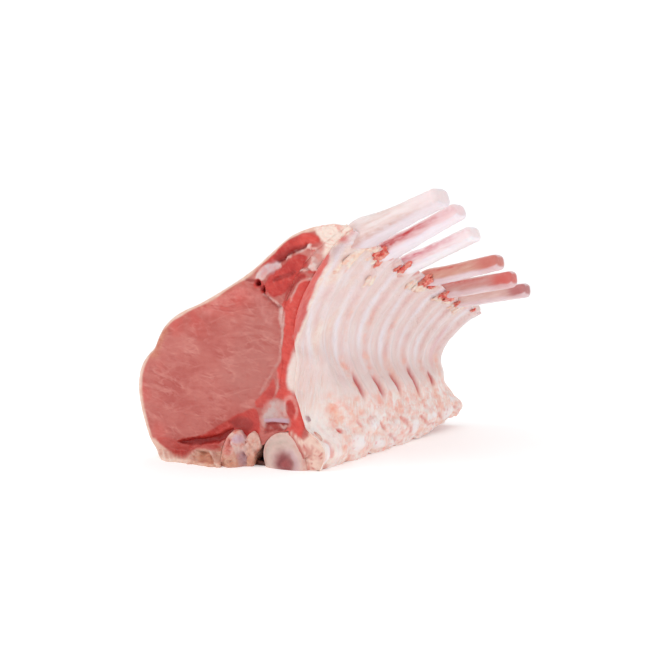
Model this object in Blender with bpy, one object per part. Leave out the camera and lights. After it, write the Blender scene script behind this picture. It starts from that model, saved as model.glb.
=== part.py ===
"""Frenched rack of pork ribs: the bone-in loin over seven ribs, sawn in half down the backbone.

The rack stands on the sawn plane of its backbone. +Y runs along the backbone from the front cut to the
rear cut, +X points to the chest side, where the bared bones end, and +Z points up along the ribs.
Sections are drawn in millimetres in the plane of the front cut, with x = z = 0 where the chest side meets
the ground, and taper() carries them to the rear cut. The finished rack is moved so that the origin is the
centre of its bounding box on the ground.
"""

import bmesh
import bpy
import math
import numpy as np
from mathutils import Vector

MM = 0.001
GAP = 0.3  # clearance between solids that touch
SHORTEST_EDGE = 0.02
OVERRUN = 3.0  # how far a cutter passes the end that it cuts through

# The length and the two cuts
RIB_PITCH = 28.0
CHINE_PITCH = 29.4  # pitch of the backbone where it meets the ground
TRUNK_LENGTH = 200.0
FRONT_LEAN = 0.12  # how far the cuts lean forward for each millimetre up
REAR_LEAN = 0.25
RIB_SLANT = 0.22  # how far a rib runs forward for each millimetre of its length
RIBS_TO_REAR = 7.12  # the rear cut, counted in rib pitches from the front cut

# The taper from the front cut to the rear cut
TAPER_SIDE = 0.07
TAPER_SHIFT = 1.5
TAPER_TOP_RIBS = 0.38
TAPER_TOP_LOIN = 0.22
TAPER_SOFTNESS = 18.0

# The chest side of the rib wall, up the rib from the ground to where the bones are bared
CHEST_LINE = [(0, 0), (4, 9), (5.5, 18), (5, 27), (3, 36), (-0.5, 45), (-4.5, 53), (-7.2, 62), (-7.3, 71),
              (-4.8, 81), (-0.5, 90), (5.5, 99), (12.5, 108), (20, 116), (28, 122)]
WALL_THICKNESS = 8.4
CHINE_COVER = 5.0  # thickness of the lower end of the wall, over the backbone
ZERO_HEIGHT = 25.0  # the height where the length of a rib starts to count
WALL_TOP = 3.6  # thickness of the upper end, where the bones are bared
WALL_TOP_RUN = 34.0
WALL_ROWS = 16
FRONT_SETBACK = 11.0  # how far the wall draws in above the backbone at the two cuts
REAR_SETBACK = 7.0
REAR_LIFT = 8.6  # how far the chest side of the backbone rises off the ground by the rear cut
LIFT_RUN = (112.0, 214.0)  # where along the rack it rises
LIFT_ACROSS = (-34.0, -6.0)  # where across the rack it reaches its full height
LIFT_FADE = 42.0  # the height that it no longer moves
FOOT_NOTCH = 2.4  # how far the foot of the wall rises where two vertebrae meet

# The ribs: where the front edge of each one lies, in rib pitches from the front cut, and where it ends
RIB_FRONTS = (0.65, 1.70, 2.70, 3.70, 4.70, 5.65, 6.66)
RIB_TIP_HEIGHTS = (133.6, 130.6, 122.4, 109.4, 101.7, 95.8)
RIB_TIP_X = (73.0, 70.4, 67.6, 72.0, 71.0, 71.2)
RIB_SHARE = 0.40  # width of a rib, in rib pitches
RIB_WIDTHS = (14.4, 13.4, 13.8, 12.6, 12.0, 11.4, 10.6)
RIB_THICKNESSES = (8.8, 8.4, 8.6, 8.0, 7.8, 7.4, 7.0)
RIB_BASE_SIZE = 0.82  # size of a rib's section inside the wall, as a share of its bared end's
RIB_SWELL = 0.03  # unevenness of a rib's width, as a share of it
RIB_SKIN = 1.5  # membrane over the bone
RIB_START = 16.0  # the bone begins this far up the wall
RIB_SIDES = 10
RIB_RINGS = 11
RIDGE_HEIGHT = 2.8
RIDGE_SHARE = 0.24
LAST_RIB_SHORT = 2.0  # how far the sawn end of the last rib stands out of the meat

# The backbone: where its bones meet, along the ground
VERTEBRA_ENDS = (6.0, 32.0, 60.0, 94.0, 125.0, 157.0, 187.0, 211.0)
VERTEBRA_LUMP = 3.0
DISC_FRONT = -0.6
CHINE_PLACES = 16  # sections of the space that the backbone takes up
VERTEBRA_OUTLINE = [(-30, 0), (-30.8, 6), (-29.6, 11.5), (-27, 15.5), (-23, 18.4), (-18, 20), (-11, 21.5),
                    (-3, 22), (3, 18), (4, 9), (3, 0)]
DISC_OUTLINE = [(-29.6, 0), (-30.6, 6), (-29.6, 11.2), (-27, 15), (-23, 18), (-18.5, 19.4), (-14.5, 18.8),
                (-11, 16), (-8, 11), (-5.6, 6), (-4.4, 0)]
FEATHER_OUTLINE = [(-58, 0), (-58, 5), (-55, 12), (-51, 17.5), (-46, 18.6), (-42, 15), (-40, 11.5),
                   (-37.6, 15.5), (-34.5, 17), (-32.4, 14), (-34.4, 9), (-37, 5), (-39.5, 0)]
BONE_PLACES = (0.0, 0.12, 0.88, 1.0)  # sections of a vertebra or feather bone, as shares of its length
FEATHER_SHARE = 0.84  # length of a feather bone, as a share of its vertebra
FEATHER_FRONT = -1.0
FEATHER_REAR_SHORT = 6.0
CANAL_OUTLINE = [(-40, -2), (-38, 4), (-35, 8.6), (-31.5, 10.4), (-29, 8), (-28.4, 2), (-28.4, -2)]

# Sections in the front cut
TRUNK_OUTLINE = [(-60, 0), (-80, 0), (-99, 0), (-104.5, 7), (-109, 17), (-112, 28), (-113, 40), (-110.5, 51),
                 (-104, 60), (-95, 70), (-84, 79), (-65, 86), (-45, 95), (-30, 103), (-17, 112), (-6, 119),
                 (6, 122.6), (18, 123.8)]
EYE_OUTLINE = [(-41, 94.5), (-33, 95.5), (-24, 91), (-17.5, 83), (-16, 72), (-17, 62), (-21, 51), (-28, 39.5),
               (-37, 30.5), (-48, 25.5), (-61, 18.5), (-78, 13.5), (-92, 11.5), (-101, 17), (-107, 28),
               (-109.5, 39), (-106, 50), (-97, 60.5), (-89, 71), (-76, 79.5), (-59, 86)]
MULTIFIDUS_OUTLINE = [(-84, 10.6), (-68, 13.2), (-55, 18.2), (-44, 24.6), (-34, 29.5), (-30.5, 26),
                      (-31, 20.4), (-40, 19.6), (-51, 19.4), (-56, 12), (-68, 9.6), (-79, 9.2)]
LOWER_MUSCLE_OUTLINE = [(-99, 8.4), (-88, 8.2), (-72, 7.6), (-60, 8.2), (-59.6, 5), (-70, 2.6), (-86, 2.6),
                        (-96, 4)]
OUTER_CAP_OUTLINE = [(-36.4, 97), (-29, 100.8), (-19.6, 107), (-10, 113.2), (-1, 117), (8.4, 117.6),
                     (11, 115.4), (3, 112.4), (-8, 109.8), (-18, 105.6), (-27, 99.4)]
INNER_CAP_OUTLINE = [(-21.6, 95), (-15, 101.6), (-8, 106.6), (1, 109.6), (4.6, 107.4), (1, 102.6), (-5, 96.6),
                     (-9.6, 89.6), (-14.6, 87), (-20, 89.6)]
SEAM_MUSCLE_OUTLINE = [(-19.4, 50.4), (-17.8, 46), (-19.2, 40), (-23.4, 35.2), (-28.6, 33.8), (-30, 35.2),
                       (-26.4, 39.6), (-22.2, 45.6)]
ARCH_OUTLINE = [(-29, 17), (-30.6, 22), (-32.4, 28.4), (-26, 32.4), (-19, 34.6), (-14.6, 32), (-14.4, 26),
                (-19, 23), (-24, 21.4)]
ARCH_DEPTH = 16.0  # the bony arch that the front cut passes through

TRUNK_STATIONS = 8
MUSCLE_STATIONS = 7
REAR_REACH = TRUNK_LENGTH / CHINE_PITCH

# Unevenness of the trunk along its length, as (share of width, waves, phase)
TRUNK_WAVES = ((0.012, 2.3, 0.4), (0.007, 5.1, 1.9))

MATERIALS = {
    "lean_meat": ((0.78, 0.36, 0.31), 0.42),
    "dark_meat": ((0.60, 0.10, 0.08), 0.38),
    "fat": ((0.90, 0.74, 0.62), 0.45),
    "rib_membrane": ((0.88, 0.72, 0.68), 0.28),
    "bared_bone": ((0.84, 0.66, 0.65), 0.35),
    "sawn_bone": ((0.82, 0.70, 0.64), 0.5),
}


def clear_scene():
    for item in list(bpy.data.objects):
        bpy.data.objects.remove(item, do_unlink=True)


def make_materials():
    made = {}
    for name, (color, roughness) in MATERIALS.items():
        material = bpy.data.materials.new(name)
        material.use_nodes = True
        shader = material.node_tree.nodes["Principled BSDF"]
        shader.inputs["Base Color"].default_value = (*color, 1)
        shader.inputs["Roughness"].default_value = roughness
        shader.inputs["Metallic"].default_value = 0.0
        made[name] = material
    return made


def ease(value, low, high):
    """0 below low, 1 above high, and a smooth step between."""
    share = np.clip((np.asarray(value, float) - low) / (high - low), 0, 1)
    return share * share * (3 - 2 * share)


def smooth_curve(points, samples, closed=False):
    """Points evenly spaced along a Catmull-Rom curve through the given ones."""
    points = np.array(points, float)
    if closed:
        padded = np.vstack([points[-1], points, points[:2]])
    else:
        padded = np.vstack([2 * points[0] - points[1], points, 2 * points[-1] - points[-2]])
    steps = np.linspace(0, 1, 12, endpoint=False)[:, None]
    runs = []
    for a, b, c, d in zip(padded, padded[1:], padded[2:], padded[3:]):
        cubic = 2 * b + (c - a) * steps + (2 * a - 5 * b + 4 * c - d) * steps**2
        runs.append((cubic + (3 * b - a - 3 * c + d) * steps**3) / 2)
    dense = np.vstack([*runs, points[:1] if closed else points[-1:]])
    along = np.concatenate([[0], np.cumsum(np.linalg.norm(np.diff(dense, axis=0), axis=1))])
    places = np.linspace(0, along[-1], samples, endpoint=not closed)
    return np.stack([np.interp(places, along, column) for column in dense.T], axis=1)


def grown(outline, amount):
    """A closed outline whose sides all moved outwards by that amount, whichever way round it runs."""
    ahead = np.roll(outline, -1, axis=0) - outline
    ahead /= np.linalg.norm(ahead, axis=1)[:, None]
    x, z = outline.T
    turn = math.copysign(1, np.sum(x * np.roll(z, -1) - np.roll(x, -1) * z))
    sides = turn * np.stack([ahead[:, 1], -ahead[:, 0]], axis=1)
    corner = sides + np.roll(sides, 1, axis=0)
    corner /= np.linalg.norm(corner, axis=1)[:, None]
    stretch = np.clip(np.sum(corner * sides, axis=1), 0.5, 1)
    return outline + amount * corner / stretch[:, None]


def taper(x, z, share):
    """A point of the front cut, carried back: share is 0 at the front cut and 1 at the rear cut."""
    top = TAPER_TOP_LOIN + (TAPER_TOP_RIBS - TAPER_TOP_LOIN) * ease(x, -80, -10)
    drop = top * z * np.abs(z) / (np.abs(z) + TAPER_SOFTNESS)
    return x * (1 - TAPER_SIDE * share) - TAPER_SHIFT * share, z - share * drop


def lifted(x, along, z):
    """Heights with the rise of the backbone's chest side towards the rear cut added."""
    lift = REAR_LIFT * ease(along, *LIFT_RUN) * ease(x, *LIFT_ACROSS)
    return z + lift * np.clip(1 - z / LIFT_FADE, 0, 1)


def trunk_ring(outline, share):
    """An outline of the front cut at another place along the trunk, on a plane that leans as the cuts do."""
    x, z = taper(outline[:, 0], outline[:, 1], share)
    swell = sum(size * math.sin(math.tau * waves * share + phase) for size, waves, phase in TRUNK_WAVES)
    x = x * (1 + swell)
    lean = FRONT_LEAN + (REAR_LEAN - FRONT_LEAN) * share
    return np.stack([x, TRUNK_LENGTH * share - lean * z, z], axis=1)


def mesh_object(name, points, faces, material=None):
    mesh = bpy.data.meshes.new(name)
    mesh.from_pydata([Vector(point) * MM for point in points], [], faces)
    shape = bmesh.new()
    shape.from_mesh(mesh)
    bmesh.ops.recalc_face_normals(shape, faces=shape.faces)
    shape.to_mesh(mesh)
    shape.free()
    item = bpy.data.objects.new(name, mesh)
    bpy.context.scene.collection.objects.link(item)
    if material:
        mesh.materials.append(material)
    mesh.shade_smooth()
    mesh.set_sharp_from_angle(angle=math.radians(40))
    return item


def halves(a, b, c, d):
    """The two triangles of a four-sided face, split the same way in a solid and in its cutter."""
    return [[a, b, c], [a, c, d]]


def loft(name, rings, material=None):
    """A solid through closed rings that have the same number of points."""
    sides = len(rings[0])
    faces = [list(range(sides)), list(range((len(rings) - 1) * sides, len(rings) * sides))]
    for ring in range(len(rings) - 1):
        for side in range(sides):
            a = ring * sides + side
            b = ring * sides + (side + 1) % sides
            faces += halves(a, b, b + sides, a + sides)
    return mesh_object(name, np.vstack(rings), faces, material)


def carve(item, *cutters, solver="EXACT"):
    """Cuts each cutter out of the item. EXACT loses the fat's thin seams, so the fat takes MANIFOLD."""
    for cutter in cutters:
        cut = item.modifiers.new("cut", "BOOLEAN")
        cut.operation = "DIFFERENCE"
        cut.solver = solver
        cut.object = cutter
    graph = bpy.context.evaluated_depsgraph_get()
    carved = bpy.data.meshes.new_from_object(item.evaluated_get(graph), depsgraph=graph)
    item.modifiers.clear()
    item.data = carved
    return item


def keep_largest(item, shortest=SHORTEST_EDGE):
    """Drops the loose scraps and the slivers that a cut leaves."""
    shape = bmesh.new()
    shape.from_mesh(item.data)
    bmesh.ops.triangulate(shape, faces=shape.faces)
    if shortest:
        bmesh.ops.dissolve_degenerate(shape, dist=shortest * MM, edges=shape.edges)
        bmesh.ops.triangulate(shape, faces=shape.faces)
    islands = []
    unseen = set(shape.verts)
    while unseen:
        island = {unseen.pop()}
        edge = list(island)
        while edge:
            for link in edge.pop().link_edges:
                for vert in link.verts:
                    if vert in unseen:
                        unseen.discard(vert)
                        island.add(vert)
                        edge.append(vert)
        islands.append(island)
    islands.sort(key=len)
    for island in islands[:-1]:
        bmesh.ops.delete(shape, geom=list(island), context="VERTS")
    shape.to_mesh(item.data)
    shape.free()
    return item


def discard(*cutters):
    for cutter in cutters:
        bpy.data.objects.remove(cutter, do_unlink=True)


# The rib wall


def ridges(pitches, length):
    """How far the wall stands out over the ribs, at places given in rib pitches and along the rib."""
    height = 0
    for front in RIB_FRONTS:
        height = height + np.exp(-(((pitches - front - RIB_SHARE / 2) / RIDGE_SHARE) ** 2))
    return RIDGE_HEIGHT * height * ease(length, -4, 14)


def lump_height(along):
    """1 over the middle of each bone of the backbone and 0 where two of them meet."""
    height = np.zeros_like(np.asarray(along, float))
    for start, end in zip((-20.0, *VERTEBRA_ENDS), VERTEBRA_ENDS):
        middle = (2 * np.asarray(along, float) - start - end) / (end - start)
        height = np.maximum(height, 1 - np.abs(middle) ** 3)
    return height


def lumps(along, length):
    """How far the wall stands out over each bone of the backbone, at places along the ground."""
    return VERTEBRA_LUMP * lump_height(along) * (1 - ease(length, -14, 6))


def wall_column(pitches, rows):
    """The chest side of the wall up one rib pitch: points (x, z), normals, and the length up the rib."""
    line = smooth_curve(CHEST_LINE, 160)
    places = np.linspace(0, len(line) - 1, rows)
    number = np.arange(len(line))
    x = np.interp(places, number, line[:, 0])
    z = np.interp(places, number, line[:, 1])
    draw_in = ease(z, 8, 22) * (1 - ease(z, 38, 60))
    front = FRONT_SETBACK * np.exp(-((pitches / 0.8) ** 2))
    rear = REAR_SETBACK * np.exp(-(((RIBS_TO_REAR - pitches) / 0.6) ** 2))
    x = x - (front + rear) * draw_in
    x, z = taper(x, z, pitches / RIBS_TO_REAR)
    along = np.concatenate([[0], np.cumsum(np.hypot(np.diff(x), np.diff(z)))])
    length = along - np.interp(ZERO_HEIGHT, z, along)
    ahead = np.stack([np.gradient(x), np.gradient(z)], axis=1)
    ahead /= np.linalg.norm(ahead, axis=1)[:, None]
    away = np.stack([-ahead[:, 1], ahead[:, 0]], axis=1)
    return np.stack([x, z], axis=1), away, length


def wall_place(pitches, length):
    """Where a place in rib pitches and along the rib lies along the rack."""
    spread = CHINE_PITCH - RIB_PITCH
    pitch = RIB_PITCH + spread * np.clip(-length / ZERO_HEIGHT, 0, 1)
    return pitches * pitch - RIB_SLANT * np.clip(length, 0, None)


def front_pitches(rows):
    """The front cut in rib pitches, for each row of the wall."""
    pitches = np.zeros(rows)
    for _ in range(3):
        line, _, length = wall_column(pitches, rows)
        slanted = -FRONT_LEAN * line[:, 1] + RIB_SLANT * np.clip(length, 0, None)
        pitches = slanted / RIB_PITCH
    return pitches


def wall_columns(rows, overrun=0.0):
    """The columns of the wall from the front cut to the rear cut, closest together over the ribs.

    The numbers returned with them are of the few columns that the smooth outer side needs.
    """
    first = front_pitches(rows)
    start = RIB_FRONTS[0] - 0.06
    columns = [first, (first + start) / 2]
    few = [0]
    for front, following in zip(RIB_FRONTS, (*RIB_FRONTS[1:], None)):
        for share in (-0.06, 0.08, 0.2, 0.32):
            columns.append(np.full(rows, front + share))
        if following:
            columns.append(np.full(rows, front + 0.46))
            few.append(len(columns))
            columns.append(np.full(rows, (front + 0.46 + following - 0.06) / 2))
    few.append(len(columns))
    columns.append(np.full(rows, RIBS_TO_REAR))
    if overrun:
        columns = [first - overrun / RIB_PITCH, *columns, columns[-1] + overrun / RIB_PITCH]
        few = [0, *(number + 1 for number in few), len(columns) - 1]
    return columns, few


def wall_thickness(length, top):
    """Thin over the backbone, full behind the ribs and thinner again where the bones are bared."""
    full = CHINE_COVER + (WALL_THICKNESS - CHINE_COVER) * ease(length, -18, 12)
    return full - (WALL_THICKNESS - WALL_TOP) * ease(length, top - WALL_TOP_RUN, top)


def wall_solid(name, grow=0.0, material=None):
    """The slab of intercostal meat and membrane, from the ground up to the bared bones."""
    chest = []
    outside = []
    columns, few = wall_columns(WALL_ROWS, OVERRUN if grow else 0.0)
    for number, pitches in enumerate(columns):
        line, away, length = wall_column(pitches, WALL_ROWS)
        along = wall_place(pitches, length)
        rise = ridges(pitches, length) + lumps(along, length)
        near = line - away * (rise + grow)[:, None]
        far = line + away * (wall_thickness(length, length[-1]) + grow)[:, None]
        for side, section in ((chest, near), (outside, far)):
            section[0, 1] = 0.0
            if side is chest:
                section[0, 1] = FOOT_NOTCH * (1 - lump_height(along[0]))
            heights = lifted(section[:, 0], along, section[:, 1])
            points = np.stack([section[:, 0], along, heights], axis=1)
            if grow:
                top = points[-1] - points[-2]
                below = points[0] - [0, 0, OVERRUN]
                points = np.vstack([below, points, points[-1] + top * GAP / np.linalg.norm(top)])
            if side is chest or number in few:
                side.append(points)
    rows = len(chest[0])
    second = len(chest) * rows
    faces = []
    for column in range(len(chest) - 1):
        faces += grid_faces(column * rows, (column + 1) * rows, rows)
    for place, (first, last) in enumerate(zip(few, few[1:])):
        faces += grid_faces(second + place * rows, second + (place + 1) * rows, rows)
        for row in (0, rows - 1):
            rim = [column * rows + row for column in range(first, last + 1)]
            faces.append([*rim, second + (place + 1) * rows + row, second + place * rows + row])
    faces += grid_faces(0, second, rows)
    faces += grid_faces((len(chest) - 1) * rows, second + (len(few) - 1) * rows, rows)
    return mesh_object(name, np.vstack([*chest, *outside]), faces, material)


def grid_faces(first, second, rows):
    """The faces between two columns of points, given the number of the lowest point of each."""
    faces = []
    for row in range(rows - 1):
        faces += halves(first + row, first + row + 1, second + row + 1, second + row)
    return faces


# The rib bones


def rib_path(number):
    """The middle line of a rib bone, from inside the wall to its sawn end."""
    middle = RIB_FRONTS[number] + RIB_SHARE / 2
    line, away, length = wall_column(np.full(80, middle), 80)
    depth = RIB_SKIN + RIB_BASE_SIZE * RIB_THICKNESSES[number] / 2 - RIDGE_HEIGHT
    inside = length > RIB_START
    spots = (line + away * depth)[inside]
    spots = spots[np.linspace(0, len(spots) - 1, 9).astype(int)]
    if number < len(RIB_TIP_HEIGHTS):
        tip = np.array([RIB_TIP_X[number], RIB_TIP_HEIGHTS[number]])
        run = tip - spots[-1]
        ends = [spots[-1] + run * 0.35, spots[-1] + run * 0.7, tip]
    else:
        last = spots[-1] - spots[-2]
        ends = [spots[-1] + last / np.linalg.norm(last) * LAST_RIB_SHORT]
    path = smooth_curve(np.vstack([spots, *ends]), RIB_RINGS)
    along = np.concatenate([[0], np.cumsum(np.linalg.norm(np.diff(path, axis=0), axis=1))]) + RIB_START
    return np.stack([path[:, 0], wall_place(middle, along), path[:, 1]], axis=1)


def rib_solid(name, number, grow=0.0, material=None):
    """A flattened tube along the rib, a little wider towards its bared end, with softened ends."""
    path = rib_path(number)
    ahead = np.gradient(path, axis=0)
    ahead /= np.linalg.norm(ahead, axis=1)[:, None]
    if grow:
        path[0] -= ahead[0] * GAP
        path[-1] += ahead[-1] * GAP
    turn = np.linspace(0, math.tau, RIB_SIDES, endpoint=False)
    across = np.sign(np.cos(turn)) * np.abs(np.cos(turn)) ** 0.8
    through = np.sign(np.sin(turn)) * np.abs(np.sin(turn)) ** 0.8
    rings = []
    for place, (spot, tangent) in enumerate(zip(path, ahead)):
        share = place / (RIB_RINGS - 1)
        side = np.array([0, 1, 0]) - tangent * tangent[1]
        side /= np.linalg.norm(side)
        up = np.cross(tangent, side)
        size = RIB_BASE_SIZE + (1 - RIB_BASE_SIZE) * ease(share, 0.3, 0.85)
        end = 0.88 if place in (0, RIB_RINGS - 1) else 1.0
        swell = 1 + RIB_SWELL * math.sin(9 * share + 2 * number)
        half_width = RIB_WIDTHS[number] / 2 * size * end * swell + grow
        half_depth = RIB_THICKNESSES[number] / 2 * size * end + grow
        rings.append(spot + np.outer(across * half_width, side) + np.outer(through * half_depth, up))
    return loft(name, rings, material)


# The trunk: fat, muscles and backbone


def wall_middle(count):
    """The middle of the rib wall in the front cut, from the top down, to close the trunk's outline."""
    line, away, length = wall_column(np.zeros(60), 60)
    middle = line + away * wall_thickness(length, length[-1])[:, None] / 2
    picks = np.linspace(58, 0, count).astype(int)
    middle = middle[picks]
    middle[-1, 1] = 0.0
    return middle


def trunk_solid(name, material=None):
    """The whole body of the loin up to the middle of the rib wall, before anything is cut out of it."""
    outer = smooth_curve(TRUNK_OUTLINE[2:], 26)
    outline = np.vstack([TRUNK_OUTLINE[0], TRUNK_OUTLINE[1], outer, wall_middle(16)])
    rings = [trunk_ring(outline, share) for share in np.linspace(0, 1, TRUNK_STATIONS)]
    for ring in rings:
        ring[:, 2] = np.where(ring[:, 2] < 0.4, 0.0, ring[:, 2])
    return loft(name, rings, material)


def muscle_solid(name, points, sides, grow=0.0, material=None, end=1.0):
    """A muscle that runs through the rack from one cut to the other."""
    outline = smooth_curve(points, sides, closed=True)
    if grow:
        outline = grown(outline, grow)
    rings = [trunk_ring(outline, share) for share in np.linspace(0, end, MUSCLE_STATIONS)]
    if grow:
        beyond = OVERRUN if end == 1 else GAP
        rings = [rings[0] - [0, OVERRUN, 0], *rings, rings[-1] + [0, beyond, 0]]
    return loft(name, rings, material)


def ground_solid(name, points, start, end, grow=0.0, material=None, crown=0.0, sides=13,
                 places=BONE_PLACES):
    """A bone of the backbone: a sawn outline on the ground, rounded in slightly towards its two ends."""
    arc = smooth_curve(points, sides)
    rings = []
    for place in places:
        pinch = 1 - crown * abs(2 * place - 1) ** 4
        along = start + (end - start) * place
        x, z = taper(arc[:, 0], arc[:, 1], along / (REAR_REACH * CHINE_PITCH))
        middle = (x[0] + x[-1]) / 2
        outline = np.stack([middle + (x - middle) * pinch, z * pinch], axis=1)
        if grow:
            outline = grown(outline, grow)
            outline[0, 1] = -OVERRUN
            outline[-1, 1] = -OVERRUN
        heights = lifted(outline[:, 0], along, outline[:, 1])
        rings.append(np.stack([outline[:, 0], along - FRONT_LEAN * outline[:, 1], heights], axis=1))
    if grow:
        rings = [rings[0] - [0, GAP, 0], *rings, rings[-1] + [0, GAP, 0]]
    return loft(name, rings, material)


def feather_spans():
    """Where each feather bone starts and ends along the ground: one to a vertebra, with a space behind it."""
    starts = (FEATHER_FRONT, *VERTEBRA_ENDS[1:-1])
    ends = (*VERTEBRA_ENDS[1:-1], VERTEBRA_ENDS[-1] - FEATHER_REAR_SHORT)
    return [(start, start + (end - start) * FEATHER_SHARE) for start, end in zip(starts, ends)]


def build_ribs(materials):
    bone = materials["bared_bone"]
    return [rib_solid(f"rib_bone_{n + 1}", n, material=bone) for n in range(len(RIB_FRONTS))]


def rib_cutters():
    return [rib_solid(f"rib_cutter_{n + 1}", n, grow=GAP) for n in range(len(RIB_FRONTS))]


def build_backbone(materials):
    """The disc at the front cut, the vertebrae behind it, and their feather bones."""
    wall = wall_solid("wall_cutter", GAP)
    slot = materials["sawn_bone"]
    disc_end = VERTEBRA_ENDS[0] - GAP
    bones = [ground_solid("chine_disc", DISC_OUTLINE, DISC_FRONT, disc_end, material=slot, crown=0.03)]
    for number, (start, end) in enumerate(zip(VERTEBRA_ENDS, VERTEBRA_ENDS[1:]), 1):
        name = f"vertebra_{number}"
        bones.append(ground_solid(name, VERTEBRA_OUTLINE, start, end - GAP, material=slot, crown=0.05))
    for bone in bones:
        keep_largest(carve(bone, wall))
    discard(wall)
    for number, (start, end) in enumerate(feather_spans(), 1):
        name = f"feather_bone_{number}"
        bones.append(ground_solid(name, FEATHER_OUTLINE, start, end, material=slot, crown=0.06, sides=16))
    return bones


def backbone_cutters():
    rear = VERTEBRA_ENDS[-1] + OVERRUN
    places = np.linspace(0, 1, CHINE_PLACES)
    cutters = [ground_solid("chine_cutter", VERTEBRA_OUTLINE, -OVERRUN, rear, grow=GAP, places=places)]
    for start, end in feather_spans():
        front = start - OVERRUN if start < 0 else start
        cutters.append(ground_solid("feather_cutter", FEATHER_OUTLINE, front, end, grow=GAP, sides=16))
    canal = smooth_curve(CANAL_OUTLINE, 12, closed=True)
    first = trunk_ring(canal, 0)
    last = trunk_ring(canal, 1)
    cutters.append(loft("canal_cutter", [first - [0, OVERRUN, 0], first, last, last + [0, OVERRUN, 0]]))
    return cutters


MUSCLES = (
    ("loin_eye", EYE_OUTLINE, 34, "lean_meat"),
    ("outer_cap_muscle", OUTER_CAP_OUTLINE, 20, "dark_meat"),
    ("inner_cap_muscle", INNER_CAP_OUTLINE, 18, "dark_meat"),
    ("multifidus_muscle", MULTIFIDUS_OUTLINE, 18, "dark_meat"),
    ("lower_muscle", LOWER_MUSCLE_OUTLINE, 14, "lean_meat"),
    ("seam_muscle", SEAM_MUSCLE_OUTLINE, 14, "dark_meat"),
)


def build_trunk(materials):
    """The muscles, the arch bone and the fat that holds them, each cut back from what lies beside it."""
    wall = wall_solid("wall_cutter", GAP)
    bones = rib_cutters()
    backbone = backbone_cutters()
    cutters = []
    made = []
    for name, outline, sides, slot in MUSCLES:
        muscle = muscle_solid(name, outline, sides, material=materials[slot])
        made.append(keep_largest(carve(muscle, wall, *backbone, *cutters)))
        cutters.append(muscle_solid(name + "_cutter", outline, sides, grow=GAP))
    arch_end = ARCH_DEPTH / TRUNK_LENGTH
    arch = muscle_solid("arch_bone", ARCH_OUTLINE, 14, material=materials["sawn_bone"], end=arch_end)
    made.append(keep_largest(carve(arch, wall, *backbone, *cutters)))
    cutters.append(muscle_solid("arch_cutter", ARCH_OUTLINE, 14, grow=GAP, end=arch_end))
    fat = trunk_solid("fat_cover", materials["fat"])
    made.append(keep_largest(carve(fat, wall, *bones, *backbone, *cutters, solver="MANIFOLD"), shortest=0))
    discard(wall, *bones, *backbone, *cutters)
    return made


def build_wall(materials):
    wall = wall_solid("rib_wall", material=materials["rib_membrane"])
    bones = rib_cutters()
    keep_largest(carve(wall, *bones))
    discard(*bones)
    return wall


def centre_on_ground(items):
    """Moves the solids so that the origin is the centre of their box, on the ground."""
    corners = np.array([vert.co for item in items for vert in item.data.vertices])
    low = corners.min(axis=0)
    high = corners.max(axis=0)
    shift = Vector((-(low[0] + high[0]) / 2, -(low[1] + high[1]) / 2, -low[2]))
    for item in items:
        for vert in item.data.vertices:
            vert.co += shift


def main():
    clear_scene()
    materials = make_materials()
    items = build_ribs(materials)
    items.append(build_wall(materials))
    items += build_backbone(materials)
    items += build_trunk(materials)
    centre_on_ground(items)


main()
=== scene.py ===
"""Looks for the raw frenched rack of pork ribs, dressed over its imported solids.

The pieces follow the same sections as the solids. Sections are drawn in millimetres in the plane of the
front cut: x to the chest side, z up and y along the backbone, with x = z = 0 where the chest side meets the
ground. In the rib wall a place is given by its rib pitch from the front cut and its length up the rib.
"""

import functools
import itertools
import math

import bmesh
import bpy
import numpy as np
from mathutils import Matrix, Vector
from mathutils.geometry import delaunay_2d_cdt


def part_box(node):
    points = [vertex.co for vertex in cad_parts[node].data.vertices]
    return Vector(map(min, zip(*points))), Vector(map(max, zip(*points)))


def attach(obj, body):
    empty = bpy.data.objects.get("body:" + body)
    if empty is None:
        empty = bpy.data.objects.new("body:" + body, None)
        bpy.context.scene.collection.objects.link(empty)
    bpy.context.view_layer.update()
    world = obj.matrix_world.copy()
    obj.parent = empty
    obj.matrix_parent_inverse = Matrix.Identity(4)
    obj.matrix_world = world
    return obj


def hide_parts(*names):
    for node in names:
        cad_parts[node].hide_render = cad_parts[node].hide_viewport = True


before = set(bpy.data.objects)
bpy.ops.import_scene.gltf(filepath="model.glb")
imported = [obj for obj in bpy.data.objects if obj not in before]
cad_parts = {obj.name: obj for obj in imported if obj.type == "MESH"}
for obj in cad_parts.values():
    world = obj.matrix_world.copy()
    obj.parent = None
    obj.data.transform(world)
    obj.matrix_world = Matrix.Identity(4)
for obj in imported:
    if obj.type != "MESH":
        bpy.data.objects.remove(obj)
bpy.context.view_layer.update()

MM = 0.001
GAP = 0.3  # the clearance between the solids

# The driving sizes of the solids
RIB_PITCH = 28.0
CHINE_PITCH = 29.4
TRUNK_LENGTH = 200.0
FRONT_LEAN = 0.12
REAR_LEAN = 0.25
RIB_SLANT = 0.22
RIBS_TO_REAR = 7.12
TAPER_SIDE = 0.07
TAPER_SHIFT = 1.5
TAPER_TOP_RIBS = 0.38
TAPER_TOP_LOIN = 0.22
TAPER_SOFTNESS = 18.0
TRUNK_WAVES = ((0.012, 2.3, 0.4), (0.007, 5.1, 1.9))
CHEST_LINE = [
    (0, 0), (4, 9), (5.5, 18), (5, 27), (3, 36), (-0.5, 45), (-4.5, 53), (-7.2, 62), (-7.3, 71),
    (-4.8, 81), (-0.5, 90), (5.5, 99), (12.5, 108), (20, 116), (28, 122)]
WALL_THICKNESS = 8.4
CHINE_COVER = 5.0
ZERO_HEIGHT = 25.0
WALL_TOP = 3.6
WALL_TOP_RUN = 34.0
FRONT_SETBACK = 11.0
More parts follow.
